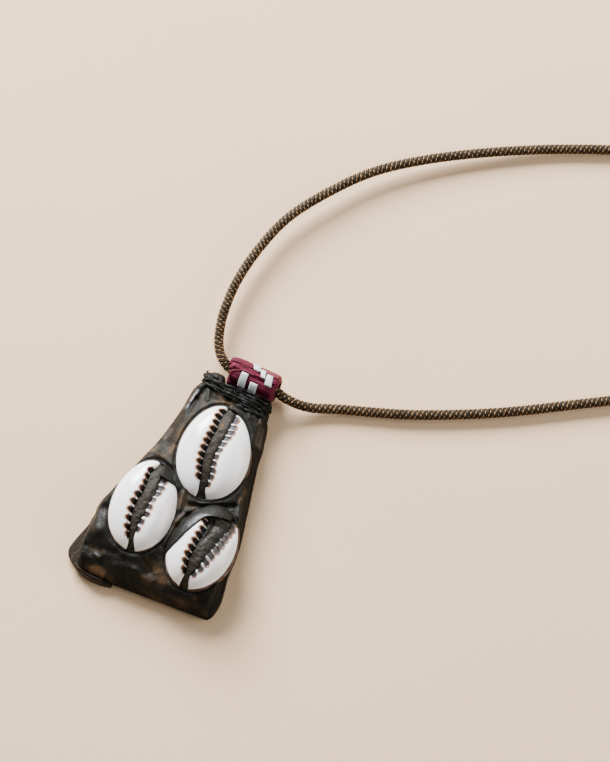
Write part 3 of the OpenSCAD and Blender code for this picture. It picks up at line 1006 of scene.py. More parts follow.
@dataclass
class Cowrie:
    """One shell with its mouth up: two rolled lips with grooves, set in the leather."""

    seat: Seat
    x: float
    y: float
    turn: float
    length: float
    width: float
    egg: float
    # Along the shell: left lip edge, right lip edge, length of left notches, length of right grooves
    lips: Table
    left_notches: Sequence[float]
    right_grooves: Sequence[float]
    top: float = 11.4
    girth: float = 6.7
    back: float = 3.6
    power: float = 2.4
    roundness: float = 0.56
    floor: float = 2.6
    # Width of the left lip's notches and the right lip's grooves, their depth, and how much they narrow
    notch_w: float = 1.5
    groove_w: float = 1.3
    notch_deep: float = 0.95
    groove_deep: float = 0.26
    notch_narrowing: float = 0.72
    groove_narrowing: float = 0.12
    # How each lip rolls in: drop at its edge and over what distance, drop of its slope and over what distance
    left_roll: tuple[float, float, float, float] = (0.95, 1.1, 0.25, 2.4)
    right_roll: tuple[float, float, float, float] = (0.85, 1.4, 0.55, 3.4)
    # Height up to which the leather has darkened the shell
    hem_height: float = 8.15
    # How far notches and grooves rise along the shell for each millimetre outwards, at the top and the bottom
    notch_lean: tuple[float, float] = (0.34, -0.04)
    groove_lean: tuple[float, float] = (-0.06, -0.35)
    # Places along the shell and how smoky the right lip is there
    smoke: Table = ((9.0, 0.35), (4.0, 0.3), (0.0, 0.15), (-6.0, 0.3))
    rows: int = 250
    left_cols: int = 62
    right_cols: int = 70
    # Size of the first groove on the right lip, against the others
    first_groove: float = 1.0

    @property
    def name(self) -> str:
        """The shell's plain name."""
        return f"{self.seat.value}_cowrie"

    @property
    def node(self) -> str:
        """The CAD node that it stands for."""
        return f"cowrie_{self.seat.value}"

    def local(self, x: np.ndarray, y: np.ndarray) -> tuple[np.ndarray, np.ndarray]:
        """Place in the shell's own frame: across and along."""
        return turned(x - self.x, y - self.y, self.turn)

    def world(self, u: np.ndarray, v: np.ndarray) -> tuple[np.ndarray, np.ndarray]:
        """Place in the shared frame of a point of the shell's own frame."""
        a = math.radians(self.turn)
        return self.x + u * math.cos(a) - v * math.sin(a), self.y + u * math.sin(a) + v * math.cos(a)

    def reach(self, u: np.ndarray, v: np.ndarray) -> np.ndarray:
        """0 at the middle and 1 on the girth."""
        t = v / (self.length / 2)
        half = self.width / 2 * (1 + self.egg * np.clip(t, -1, 1))
        return np.sqrt(t * t + (u / half) ** 2)

    def dome(self, u: np.ndarray, v: np.ndarray) -> np.ndarray:
        """Height of the dome before its mouth is cut."""
        r = np.minimum(1.0, self.reach(u, v))
        return self.girth + (self.top - self.girth) * np.maximum(0.0, 1 - r**self.power) ** self.roundness

    def cuts(self, d: np.ndarray, v: np.ndarray, places: Sequence[float], long: np.ndarray, wide: float,
             lean: tuple[float, float], narrowing: float) -> np.ndarray:
        """Distance from the nearest cut's outline, positive inside it.

        Args:
            d: distance outwards from the lip's edge.
            v: place along the shell.
            places: where each cut meets the lip's edge, from the top down.
            long: length of the cuts at each point.
            wide: their width at the edge.
            lean: rise of a cut along the shell for each millimetre outwards, at the top and at the bottom.
            narrowing: share of its width that a cut loses towards its end.

        Returns:
            The distance for each point, in millimetres.
        """
        best = np.full(d.shape, -9.0)
        for k, place in enumerate(places):
            size = self.first_groove if (k == 0 and wide == self.groove_w) else 1.0
            rise = lean[0] + (lean[1] - lean[0]) * k / (len(places) - 1)
            half = wide / 2 * size
            taper = half * (1.0 - narrowing * np.clip((d - 0.3) / np.maximum(long - 0.3, 0.2), 0, 1))
            out = np.maximum(0.0, d - np.maximum(0.05, long - half * (1 - narrowing)))
            side = np.abs(v - (place + rise * d))
            best = np.maximum(best, taper - np.hypot(out, side))
        return best

    def rolled(self, d: np.ndarray, edge: float, edge_reach: float, slope: float,
               slope_reach: float) -> np.ndarray:
        """How far a lip is below the shell's dome, without its cuts.

        Args:
            d: distance outwards from the lip's edge.
            edge: drop at the edge.
            edge_reach: distance over which that drop fades.
            slope: drop of the broader slope.
            slope_reach: distance over which the slope fades.

        Returns:
            The drop, in millimetres.
        """
        return edge * (1 - quarter(d, edge_reach)) + slope * (1 - ease(d / slope_reach))

    def build(self) -> bpy.types.Object:
        """Builds the shell's body and keeps where its grooves, its stains and its painted shade are.

        Returns:
            The shell.
        """
        s = np.linspace(-1, 1, self.rows)
        t = 0.45 * np.sin(np.pi / 2 * s) + 0.55 * s
        v = t * self.length / 2
        chord = np.sqrt(np.maximum(0.0, 1 - t * t))
        half = self.width / 2 * (1 + self.egg * t) * chord
        edge_l = np.clip(column(self.lips, 1, v), -half, half)
        edge_r = np.clip(column(self.lips, 2, v), -half, half)
        long_l, long_r = column(self.lips, 3, v), column(self.lips, 4, v)
        ql = crowded(np.linspace(0, 1, self.left_cols), 0.5)
        qr = crowded(np.linspace(0, 1, self.right_cols), 0.5)
        qm = np.linspace(0, 1, 5)[1:-1]
        u = np.concatenate([
            -half[:, None] + (edge_l + half)[:, None] * ql,
            edge_l[:, None] + (edge_r - edge_l)[:, None] * qm,
            edge_r[:, None] + (half - edge_r)[:, None] * qr,
        ], axis=1)
        vv = np.broadcast_to(v[:, None], u.shape)
        dome = self.dome(u, vv)
        dl, dr = edge_l[:, None] - u, u - edge_r[:, None]
        left, right = dl >= -1e-9, dr >= -1e-9
        span_l = np.broadcast_to(long_l[:, None], u.shape)
        span_r = np.broadcast_to(long_r[:, None], u.shape)
        inside_l = self.cuts(
            dl, vv, self.left_notches, span_l, self.notch_w, self.notch_lean, self.notch_narrowing)
        inside_r = self.cuts(
            dr, vv, self.right_grooves, span_r, self.groove_w, self.groove_lean, self.groove_narrowing)
        roll_l, roll_r = self.rolled(dl, *self.left_roll), self.rolled(dr, *self.right_roll)
        cut_l = self.notch_deep * ease(inside_l / 0.3 + 0.35)
        cut_r = self.groove_deep * ease(inside_r / 0.3 + 0.3)
        fade = np.sqrt(np.clip((1 - np.abs(t)) / 0.1, 0, 1))[:, None]
        drop = np.where(left, roll_l + cut_l, np.where(right, roll_r + cut_r, 0.0)) * fade
        z = np.where(left | right, dome - drop, dome - self.floor * fade)
        z = np.maximum(z, self.girth - 2.4 * fade)
        x, y = self.world(u, vv)
        bm = fresh("notch", "channel", "fringe", "hem", "outline", "smoke")
        verts = grid(bm, np.stack([x, y, z], axis=2))
        # Left notches painted black: the dark leather left in them and painted shade
        notch = np.where(left, ease(inside_l / 0.16 + 0.55), 0.0)
        far_l = dl / np.maximum(long_l[:, None], 0.2)
        far_r = dr / np.maximum(long_r[:, None], 0.2)
        # Right lip's grooves, where shade is painted grey
        channel = np.where(right, ease(inside_r / 0.22 + 0.5) * ease((1.2 - far_r) / 0.4), 0.0)
        # The mouth's floor between the lips is painted black as well: dark leather and painted shade
        floor = np.where(left | right, 0.0, 1.0)
        ring_l = ease(1.3 - np.abs(inside_l + 0.15) / 0.36) * ease((far_l - 0.1) / 0.4)
        ring_r = ease(1.3 - np.abs(inside_r + 0.06) / 0.36) * ease((far_r - 0.5) / 0.3)
        # Lower grooves are painted darker, with the notches' black of leather and painted shade
        lower_groove_dark = ease((1.5 - vv) / 5.0) * 0.75
        smoke = 1.1 * column(self.smoke, 1, v)[:, None] * ease(1.6 - dr / np.maximum(span_r * 0.8, 0.2))
        notch = np.maximum(notch, channel * lower_groove_dark)
        fringe = np.where(left, ring_l, np.where(right, ring_r, 0.0)) * fade
        rim_r = ease(1.1 - np.abs(inside_r - 0.06) / 0.13) * ease((1.25 - far_r) / 0.3)
        outline = np.where(right, 0.85 * rim_r, 0.0) * fade
        hem = ease((self.hem_height - dome) / 0.14)
        paint(
            bm, verts, notch=np.maximum(notch * fade, floor), channel=channel * fade, fringe=fringe, hem=hem,
            outline=outline, smoke=np.where(right, smoke, 0.0),
        )
        bmesh.ops.remove_doubles(bm, verts=bm.verts, dist=1e-6)

        def drawn_in(share: float, height: float) -> Callable[[np.ndarray], Sequence[float]]:
            """Moves a rim point towards the middle, down to a height."""
            return lambda p: (self.x + (p[0] - self.x) * share, self.y + (p[1] - self.y) * share, height)

        skirt(bm, drawn_in(0.985, (self.back + self.girth) / 2), drawn_in(0.914, self.back))
        outward(bm)
        made = finished(bm, self.name, Porcelain(self.name + "_shell").make())
        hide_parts(self.node)
        self.node
        return made


def three_cowries() -> list[Cowrie]:
    """The three shells, with the sizes and the cuts of each.

    Returns:
        The top, left and right shells, from the top of the packet down.
    """
    top = Cowrie(
        Seat.TOP, 2.5, 6.6, 13.5, 24.2, 17.7, -0.10,
        lips=(
            (12.5, 1.6, 2.6, 0.6, 0.5), (11.0, 0.7, 2.6, 1.0, 0.8), (9.6, 0.2, 2.6, 1.5, 1.4),
            (8.0, -0.3, 2.4, 1.4, 1.7), (6.0, -0.4, 2.0, 1.35, 2.1), (4.0, -0.9, 1.75, 1.3, 2.0),
            (2.0, -1.4, 1.2, 1.3, 1.6), (0.0, -1.8, 0.65, 1.25, 1.35), (-2.0, -2.0, 0.3, 1.2, 1.15),
            (-4.0, -2.0, 0.2, 1.15, 1.1), (-6.0, -1.8, 0.3, 1.05, 1.2), (-8.0, -1.7, 0.0, 0.8, 1.0),
            (-10.0, -1.7, -0.1, 0.5, 0.6), (-12.5, -2.4, 1.0, 0.3, 0.3)),
        left_notches=(9.9, 8.2, 6.5, 4.8, 3.2, 1.6, -0.1, -1.8, -3.5, -5.1, -6.8),
        right_grooves=(8.5, 6.3, 4.8, 3.2, 1.6, 0.0, -1.7, -3.3, -4.9, -6.5, -8.2),
        first_groove=1.9,
    )
    left = Cowrie(
        Seat.LEFT, -6.7, -11.8, 10.0, 23.2, 15.9, -0.08,
        lips=(
            (12.0, 1.2, 2.6, 0.5, 0.8), (10.0, 0.6, 2.3, 0.9, 1.2), (8.1, -0.4, 2.0, 1.0, 1.6),
            (6.3, -0.6, 1.9, 0.8, 1.9), (4.6, -0.6, 2.0, 0.8, 1.9), (2.8, -0.9, 1.9, 0.9, 1.6),
            (1.2, -1.4, 1.5, 1.1, 1.2), (-0.6, -1.7, 1.1, 1.1, 1.3), (-2.4, -1.8, 1.0, 1.1, 1.4),
            (-4.4, -1.7, 0.4, 1.05, 1.2), (-6.4, -1.5, 0.2, 1.0, 0.9), (-8.2, -1.1, 0.0, 0.6, 0.5),
            (-10.0, -0.9, 0.5, 0.4, 0.3), (-12.0, -1.4, 1.4, 0.3, 0.3)),
        left_notches=(8.1, 6.4, 4.8, 3.2, 1.5, -0.4, -2.4, -4.4, -6.4, -8.0),
        right_grooves=(6.2, 4.3, 2.7, 1.1, -0.6, -2.5, -4.4, -6.3),
        smoke=((8.0, 0.9), (4.0, 0.7), (1.0, 0.3), (-6.0, 0.2)),
    )
    right = Cowrie(
        Seat.RIGHT, 10.0, -15.1, -3.0, 21.8, 15.7, -0.05,
        lips=(
            (11.5, -2.2, 1.8, 0.8, 0.6), (9.3, -2.3, 2.4, 1.0, 1.4), (6.7, -1.9, 2.8, 1.2, 2.0),
            (5.0, -1.4, 2.8, 1.3, 2.0), (3.0, -1.1, 2.6, 1.2, 2.1), (1.4, -1.3, 2.4, 1.25, 2.2),
            (-0.2, -1.25, 2.2, 1.3, 2.2), (-1.9, -1.25, 1.9, 1.25, 2.1), (-3.6, -1.3, 1.8, 1.2, 1.9),
            (-5.4, -1.0, 1.5, 1.1, 1.6), (-7.3, -0.5, 0.9, 0.8, 1.2), (-8.6, -0.5, 1.0, 0.5, 0.6),
            (-11.5, -0.7, 1.9, 0.3, 0.3)),
        left_notches=(6.4, 4.8, 3.0, 1.5, -0.2, -1.9, -3.6, -5.3, -7.0),
        right_grooves=(8.6, 7.0, 5.5, 4.0, 2.5, 0.8, -1.0, -2.9, -4.8, -6.6),
        notch_lean=(0.3, 0.0),
        groove_lean=(-0.25, -0.6),
        smoke=((9.0, 1.3), (3.0, 1.3), (0.5, 1.1), (-2.0, 0.8), (-7.0, 0.6)),
    )
    return [top, left, right]


@dataclass(frozen=True)
class Stroke:
    """A mark of some width along a short line on the leather."""

    x0: float
    y0: float
    x1: float
    y1: float
    width: float

    def away(self, x: np.ndarray, y: np.ndarray) -> np.ndarray:
        """Distance of points from the line, in widths."""
        ex, ey = self.x1 - self.x0, self.y1 - self.y0
        t = np.clip(((x - self.x0) * ex + (y - self.y0) * ey) / (ex * ex + ey * ey), 0, 1)
        return np.hypot(x - self.x0 - t * ex, y - self.y0 - t * ey) / self.width


@dataclass(frozen=True)
class Fold(Stroke):
    """One fold, or dent where its height is below 0."""

    height: float

    def rise(self, x: np.ndarray, y: np.ndarray) -> np.ndarray:
        """Height that the fold adds at points."""
        return self.height * np.exp(-(self.away(x, y) ** 2))


@dataclass(frozen=True)
class Facet(Stroke):
    """One flat, polished place, tilted so that it shines in the window light."""

    slope_x: float = 0.31
    slope_y: float = -0.19
    flatness: float = 0.55

    def mask(self, x: np.ndarray, y: np.ndarray) -> np.ndarray:
        """1 on the facet and 0 away from it."""
        return np.exp(-(self.away(x, y) ** 3))

    def flatten(self, x: np.ndarray, y: np.ndarray, z: np.ndarray) -> np.ndarray:
        """Draws heights towards the facet's plane, within its width.

        Args:
            x: place across.
            y: place along.
            z: the heights.

        Returns:
            The new heights.
        """
        mask = self.mask(x, y)
        share = mask / mask.sum()
        middle = (share * x).sum(), (share * y).sum(), (share * z).sum()
        plane = middle[2] + self.slope_x * (x - middle[0]) + self.slope_y * (y - middle[1])
        return z + self.flatness * mask * (plane - z)


@dataclass(frozen=True)
class Scuff:
    """One place where the wax has worn off the leather."""

    x: float
    y: float
    rx: float
    ry: float
    turn: float
    strength: float

    def at(self, x: np.ndarray, y: np.ndarray) -> np.ndarray:
        """Strength of the wear at points."""
        u, v = turned(x - self.x, y - self.y, self.turn)
        return self.strength * np.exp(-((u / self.rx) ** 2) - (v / self.ry) ** 2)


@dataclass
class LeatherPacket:
    """Front leather, wet-moulded round the shells, with folds, scuffs and a strip in each mouth."""

    shells: list[Cowrie]
    # From the neck down: y, left x, right x, left edge radius, right edge radius, share of the height
    outline: Table = (
        (24.2, -7.6, 8.0, 2.2, 2.2, 0.93), (22.6, -7.9, 8.4, 2.2, 2.2, 0.94),
        (21.2, -9.2, 9.3, 2.2, 2.0, 0.95), (20.0, -9.7, 9.8, 2.4, 1.8, 0.96),
        (19.0, -9.9, 10.1, 2.6, 1.8, 0.97), (17.2, -10.0, 10.6, 2.8, 2.0, 0.98),
        (15.0, -10.1, 11.0, 3.0, 2.2, 0.99), (12.5, -10.4, 11.4, 3.2, 2.2, 1.0),
        (10.0, -10.8, 11.7, 3.2, 2.2, 1.0), (5.0, -11.7, 12.8, 3.2, 2.2, 1.0),
        (0.0, -13.0, 14.1, 3.0, 1.8, 1.0), (-6.0, -14.5, 15.6, 2.4, 1.2, 1.0),
        (-11.0, -16.0, 16.7, 2.2, 0.7, 1.0), (-15.0, -17.2, 17.1, 2.0, 0.6, 0.99),
        (-18.5, -16.9, 17.0, 1.6, 0.7, 0.96), (-24.0, -16.8, 17.9, 1.3, 1.6, 0.88),
        (-30.4, -15.7, 18.2, 1.4, 2.4, 0.74),
    )
    thick: float = 6.3
    base: float = 1.52
    collar_rise: float = 1.75
    collar_reach: float = 4.2
    collar_end: float = 20.6
    collar_fade: float = 2.4
    lap_thick: float = 0.4
    # Size and height of the leather's broad lumps, its dents and its pits
    lumps: tuple[float, float] = (7.0, 0.2)
    dents: tuple[float, float] = (2.6, 0.1)
    pits: tuple[float, float] = (1.1, 0.05)
    # Pucker round a shell: height, distance from the shell, width. Groove at the shell: depth, width
    pucker: tuple[float, float, float] = (0.12, 0.55, 0.45)
    groove: tuple[float, float] = (0.22, 0.2)
    neck_r: float = 1.6
    # The strips in the mouths: how far they run past a shell's ends and under its lips, and their points
    strip_past: float = 1.1
    strip_tuck: float = 0.5
    strip_rows: int = 190
    strip_cols: int = 25
    least_rise: float = 0.25
    under: float = 0.3
    # Places along the right shell, and how far across it the leather laps there
    lap: Table = (
        (-8.0, -5.5, -2.0, 0.5, 3.1, 4.6, 5.9, 6.6, 7.2, 8.0),
        (-8.6, -6.5, -5.1, -4.4, -3.4, -2.8, -2.1, -1.1, 0.4, 3.2),
    )
    bottom_r: float = 3.4
    corner_r: float = 2.3
    neck_slant: float = 0.04
    bottom_slant: float = 0.065
    cols: int = 236
    rows: int = 350
    folds: Sequence[Fold] = (
        Fold(-7.9, 20.4, -8.6, 16.4, 0.7, 0.45),
        Fold(-8.6, 16.8, -8.8, 13.6, 0.7, 0.4),
        Fold(-6.8, 20.7, -7.4, 17.7, 0.5, -0.55),
        Fold(-7.4, 17.7, -7.5, 13.6, 0.5, -0.5),
        Fold(-5.4, 20.2, -4.6, 17.8, 0.5, 0.35),
        Fold(-3.7, 21.2, -0.6, 19.0, 0.5, 0.4),
        Fold(-1.4, 21.2, 0.0, 19.9, 0.35, -0.4),
        Fold(1.0, 21.0, 0.1, 18.7, 0.4, 0.35),
        Fold(3.6, 20.6, 4.8, 19.0, 0.4, -0.3),
        Fold(4.6, 20.4, 6.4, 18.4, 0.6, 0.4),
        Fold(7.4, 20.4, 8.4, 18.2, 0.4, -0.4),
        Fold(8.2, 18.6, 10.2, 16.2, 0.8, 0.3),
        Fold(10.3, 16.4, 11.0, 12.4, 0.7, 0.25),
        Fold(-14.9, -15.4, -14.6, -22.0, 1.5, 0.4),
        Fold(-13.2, -26.2, -9.6, -27.6, 1.0, -0.35),
        Fold(-12.0, -26.4, -10.9, -26.8, 0.6, 0.5),
        Fold(-14.8, -25.2, -8.0, -24.4, 0.9, -0.35),
        Fold(-13.4, -28.8, -7.4, -29.2, 0.8, -0.4),
        Fold(-6.6, -27.0, -1.9, -26.2, 1.0, 0.4),
        Fold(-1.9, -26.2, 2.4, -26.9, 1.0, 0.4),
        Fold(-5.6, -24.6, -3.2, -29.0, 0.5, -0.3),
        Fold(-2.0, -22.8, 1.5, -24.8, 0.7, -0.35),
        Fold(3.6, -28.0, 10.5, -28.2, 0.9, 0.3),
        Fold(14.0, -26.0, 16.6, -23.6, 0.8, -0.3),
        Fold(0.4, -4.4, 1.2, -9.4, 0.6, 0.45),
        Fold(1.9, -18.0, 1.9, -12.5, 0.7, 0.35),
        Fold(1.9, -12.5, 3.2, -9.0, 0.7, 0.4),
        Fold(3.2, -9.0, 5.0, -7.2, 0.6, 0.35),
        Fold(2.9, -7.1, 6.4, -6.1, 0.5, -0.8),
        Fold(6.4, -6.1, 12.2, -3.1, 0.6, -0.9),
        Fold(12.6, 0.4, 14.6, -5.4, 0.5, 0.35),
        Fold(-9.7, 1.0, -5.0, -0.3, 0.6, 0.35),
        Fold(-5.0, -0.3, -1.4, -4.7, 0.6, 0.3),
    )
    facets: Sequence[Facet] = (
        Facet(-8.1, 19.8, -8.9, 14.2, 0.5),
        Facet(-14.5, -16.6, -13.9, -20.8, 1.5),
        Facet(-11.9, -26.3, -11.3, -26.5, 0.55),
        Facet(9.6, 17.0, 10.6, 13.2, 0.6),
        Facet(-9.6, 8.2, -9.9, 5.6, 0.7),
        Facet(-10.6, 3.0, -11.2, 1.6, 0.6),
        Facet(5.6, 20.2, 6.8, 18.8, 0.5),
    )
    scuffs: Sequence[Scuff] = (
        Scuff(-6.7, 7.6, 1.2, 3.8, 4.0, 0.8),
        Scuff(-6.9, 3.4, 1.3, 2.4, 0.0, 0.85),
        Scuff(-6.0, 11.8, 1.0, 3.0, 14.0, 0.6),
        Scuff(-4.4, 15.6, 1.0, 2.6, 30.0, 0.5),
        Scuff(-2.0, 18.6, 2.4, 1.0, 20.0, 0.6),
        Scuff(-2.8, 20.4, 2.4, 0.9, -15.0, 0.75),
        Scuff(0.3, 19.5, 1.4, 1.2, 0.0, 0.75),
        Scuff(-7.6, 0.9, 2.2, 1.1, 15.0, 0.75),
        Scuff(-10.6, 1.4, 1.4, 0.9, 30.0, 0.55),
        Scuff(0.4, -7.2, 1.6, 3.2, -10.0, 0.7),
        Scuff(3.2, -7.4, 2.4, 1.2, -15.0, 0.65),
        Scuff(2.2, -12.0, 0.8, 4.0, -8.0, 0.5),
        Scuff(-10.2, -29.5, 2.2, 1.2, 4.0, 2.0),
        Scuff(-7.0, -29.6, 1.6, 0.9, 0.0, 0.7),
        Scuff(-12.8, -25.4, 1.6, 0.8, 0.0, 0.55),
        Scuff(-10.6, -25.4, 1.0, 0.9, 0.0, 0.6),
        Scuff(2.4, -24.2, 2.6, 1.7, -20.0, 0.85),
        Scuff(4.6, -25.6, 2.4, 1.9, -10.0, 0.85),
        Scuff(1.2, -26.6, 2.6, 1.4, 0.0, 0.7),
        Scuff(6.2, -24.6, 1.2, 2.2, 0.0, 0.7),
        Scuff(-0.5, -22.8, 1.3, 0.7, -20.0, 0.6),
        Scuff(4.2, -29.3, 3.6, 0.6, -2.0, 0.75),
        Scuff(10.8, -28.2, 2.4, 0.8, 3.0, 0.7),
        Scuff(16.6, -28.0, 1.2, 0.6, 10.0, 0.6),
        Scuff(13.4, -26.3, 0.8, 0.7, 0.0, 0.65),
        Scuff(12.8, -1.0, 0.5, 1.3, 0.0, 0.95),
        Scuff(12.9, 1.2, 0.4, 1.0, 0.0, 0.75),
        Scuff(6.6, 20.0, 0.5, 0.5, 0.0, 0.9),
        Scuff(8.6, 18.4, 0.6, 1.0, 20.0, 0.5),
        Scuff(-6.6, 18.6, 0.7, 0.9, 10.0, 0.55),
        Scuff(-14.0, -7.0, 0.5, 3.0, 15.0, 0.4),
    )

    def collar(self, x: np.ndarray, y: np.ndarray) -> np.ndarray:
        """Rise of the leather round the shells.

        Args:
            x: place across.
            y: place along.

        Returns:
            The rise, in millimetres.
        """
        total = np.zeros_like(x)
        for s in self.shells:
            u, v = s.local(x, y)
            total = total + ease(1 - (s.reach(u, v) - 1) * s.width / 2 / self.collar_reach) ** 2
        return self.collar_rise * np.minimum(1.0, np.sqrt(total))

    def lap_line(self, v: np.ndarray) -> np.ndarray:
        """How far across the right shell the leather laps, by the place along the shell."""
        return np.interp(v, self.lap[0], self.lap[1])

    def covers(self, s: Cowrie, u: np.ndarray, v: np.ndarray) -> np.ndarray:
        """Where the leather laps over a shell, from 0 to 1.

        Args:
            s: the shell.
            u: place across it.
            v: place along it.

        Returns:
            1 where the leather lies on the shell.
        """
        if s.seat is Seat.RIGHT:
            band = ease((self.lap_line(v) - u) / 0.9 + 0.5)
            over = ease((v - 7.3) / 1.3 + 0.5) * ease((3.0 + 0.25 * (v - 8.0) - u) / 1.1 + 0.5)
            return np.maximum(band, over)
        if s.seat is Seat.LEFT:
            line = 6.4 - 0.25 * (u - 3.5)
            return ease((v - line) / 0.8 + 0.5) * ease((u - 1.5) / 1.5 + 0.5)
        return ease((v - 10.6 + 0.2 * (u - 3.0)) / 0.8 + 0.5) * ease((u - 1.6) / 0.8 + 0.5)

    def surface(self, x: np.ndarray, y: np.ndarray, y0: np.ndarray, left: np.ndarray,
                right: np.ndarray) -> np.ndarray:
        """Height of the leather's top.

        Args:
            x: place across.
            y: place along.
            y0: row of the outline that the point belongs to.
            left: left side of that row.
            right: right side of that row.

        Returns:
            The height above the surface that the pendant lies on.
        """
        bottom, neck = self.outline[-1][0], self.outline[0][0]
        lumps = rough_field(x, y, self.lumps[0], 1.0)
        dents = rough_field(x, y, self.dents[0], 2.0)
        pits = rough_field(x, y, self.pits[0], 3.0, 2)
        collar = self.collar(x, y) * ease((self.collar_end - y0) / self.collar_fade)
        rise = self.thick * column(self.outline, 5, y0) - self.base + collar
        rise = rise + self.lumps[1] * lumps + self.dents[1] * dents + self.pits[1] * pits
        for fold in self.folds:
            rise = rise + fold.rise(x, y)
        sides = quarter(x - left, column(self.outline, 3, y0))
        sides = sides * quarter(right - x, column(self.outline, 4, y0))
        ends = quarter(y0 - bottom, self.bottom_r) * quarter(neck - y0, self.neck_r)
        z = self.base + np.maximum(self.least_rise, rise * sides * ends)
        height, off, width = self.pucker
        deep, narrow = self.groove
        for s in self.shells:
            u, v = s.local(x, y)
            r = s.reach(u, v)
            away = (r - 1) * s.width / 2
            bare = 1 - self.covers(s, u, v)
            z = z + height * bump(away - off, width) - deep * bare * bump(away, narrow)
        for facet in self.facets:
            z = facet.flatten(x, y, z)
        for s in self.shells:
            u, v = s.local(x, y)
            r = s.reach(u, v)
            inside = ease((0.95 - r) / 0.04)
            over = self.covers(s, u, v)
            lap = s.dome(u, v) + self.lap_thick + self.dents[1] * dents
            z = np.where(r < 1.02, np.maximum(z, over * lap + (1 - over) * z), z)
            z = z * (1 - inside) + inside * (over * lap + (1 - over) * (s.back - self.under))
        return z

    def build(self) -> bpy.types.Object:
        """Builds the front leather.

        Returns:
            The packet.
        """
        bottom, neck = self.outline[-1][0], self.outline[0][0]
        j = crowded(np.linspace(0, 1, self.rows), 0.35)
        i = crowded(np.linspace(0, 1, self.cols), 0.45)
        y0 = bottom + (neck - bottom) * j
        d = np.clip((y0 - bottom) / self.corner_r, 0, 1)
        corner = self.corner_r * (1 - np.sqrt(1 - (1 - d) ** 2))
        left = column(self.outline, 1, y0) + corner
        right = column(self.outline, 2, y0) - corner / 2
        x = left[:, None] + (right - left)[:, None] * i
        rows = np.broadcast_to(y0[:, None], x.shape)
        y = rows - self.neck_slant * (x - 0.8) * ease((rows - 12) / 8)
        y = y + self.bottom_slant * np.maximum(0.0, x + 6.0) * ease((-18.0 - rows) / 10)
        y = y + 1.9 * ease((-2.9 - x) / 1.6) * ease((rows - 22.2) / 1.8)
        sides = (np.broadcast_to(side[:, None], x.shape) for side in (left, right))
        z = self.surface(x, y, rows, *sides)
        wear = np.zeros_like(x)
        for scuff in self.scuffs:
            wear = np.maximum(wear, scuff.at(x, y))
        rim = bump(x - left[:, None] - 0.15, 0.28) * ease((-20.5 - rows) / 2.0)
        wear = np.maximum(wear, rim * (0.6 + 0.9 * rough_field(x, y, 1.6, 8.0, 2)))
        right_in = (right[:, None] - x) / column(self.outline, 4, y0)[:, None]
        left_in = (x - left[:, None]) / column(self.outline, 3, y0)[:, None]
        wall = np.maximum(ease((0.75 - right_in) / 0.5), ease((0.4 - left_in) / 0.3))
        wall = np.maximum(wall, 0.8 * ease((bottom + 1.6 - rows) / 1.2))
        polish = np.zeros_like(x)
        for facet in self.facets:
            polish = np.maximum(polish, facet.mask(x, y))
        lapped = next(s for s in self.shells if s.seat is Seat.RIGHT)
        u, v = lapped.local(x, y)
        shine = bump(u - self.lap_line(v) + 1.5, 0.8) * ease((v + 0.5) / 4.0) * ease((7.5 - v) / 1.5)
        polish = np.maximum(polish, 0.55 * shine)
        bm = fresh("wear", "wall", "polish")
        verts = grid(bm, np.stack([x, y, z], axis=2))
        paint(bm, verts, wear=wear, wall=wall, polish=polish)
        skirt(bm, lambda p: (p[0], p[1], self.base))
        outward(bm)
        made = finished(bm, "moulded_leather", WaxedLeather().make())
        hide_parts("leather_packet")
        return made

    def strip(self, s: Cowrie) -> bpy.types.Object:
        """Builds the strip of leather in a shell's mouth.

        Args:
            s: the shell.

        Returns:
            The strip.
        """
        v = np.linspace(s.length / 2 + self.strip_past, -s.length / 2 - self.strip_past, self.strip_rows)
        q = np.linspace(-1, 1, self.strip_cols)
        on_right = s.seat is Seat.RIGHT
        sunk = ease((np.abs(v) - s.length / 2 + 1.2) / 1.9)
        polish = 0.35 * ease(on_right * (0.5 + q))[None, :] * ease((v + 4.0) / 3.0)[:, None]
        spread = ease((v - 5.2) / 3.2) * on_right
        low = column(s.lips, 1, v) - self.strip_tuck - 2.4 * spread
        high = column(s.lips, 2, v) + self.strip_tuck
        u = (low + high)[:, None] / 2 + ((high - low) / 2 * (1 - 0.75 * sunk))[:, None] * q
        vv = np.broadcast_to(v[:, None], u.shape)
        x, y = s.world(u, vv)
        dents = rough_field(x, y, 1.7, 5.0 + s.turn)
        pits = rough_field(x, y, 0.7, 9.0 + s.turn)
        crown = 1 - np.abs(q) ** 3.2
        mid = s.dome((low + high)[:, None] / 2 + 0 * u, vv)
        z = mid - 1.6 + 0.6 * crown + 0.24 * q + 0.15 * dents + 0.05 * pits
        crease = bump(q + 0.3, 0.14) * ease((vv - 1.0) / 2.0) * ease((8.5 - vv) / 3.0)
        z = z - 0.5 * crease * on_right
        z = z + (s.dome(u, vv) + 0.2 + 0.15 * dents - z) * spread[:, None]
        z = z - 1.6 * ease((vv - 7.2) / 1.3) * on_right
        bed = self.thick + self.collar_rise - 0.3 + 0.1 * dents
        z = np.maximum(z, bed - 0.9 * (1 - crown)) - 2.2 * sunk[:, None]
        bm = fresh("wear", "polish")
        verts = grid(bm, np.stack([x, y, z], axis=2))
        wear = 0.95 * bump(vv - 6.2, 2.4) * bump(q + 0.1, 0.4) * (s.seat is Seat.TOP)
        # Across the strip the colour is painted lighter towards its middle and darker towards its edges
        paint(bm, verts, wear=np.maximum(wear, 0.45 * (1 - q * q)), polish=polish + 0 * u)
        skirt(bm, lambda p: (p[0], p[1], min(p[2] - 0.2, s.back + 1.0)))
        outward(bm)
        finish = WaxedLeather(
            "mouth_leather_" + s.name, brown=(0.022, 0.016, 0.0105), rough_low=0.42, relief=0.07,
            browning=0.53, seed=4.0,
        )
        made = finished(bm, s.name + "_mouth_leather", finish.make())
        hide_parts("leather_packet")
        return made


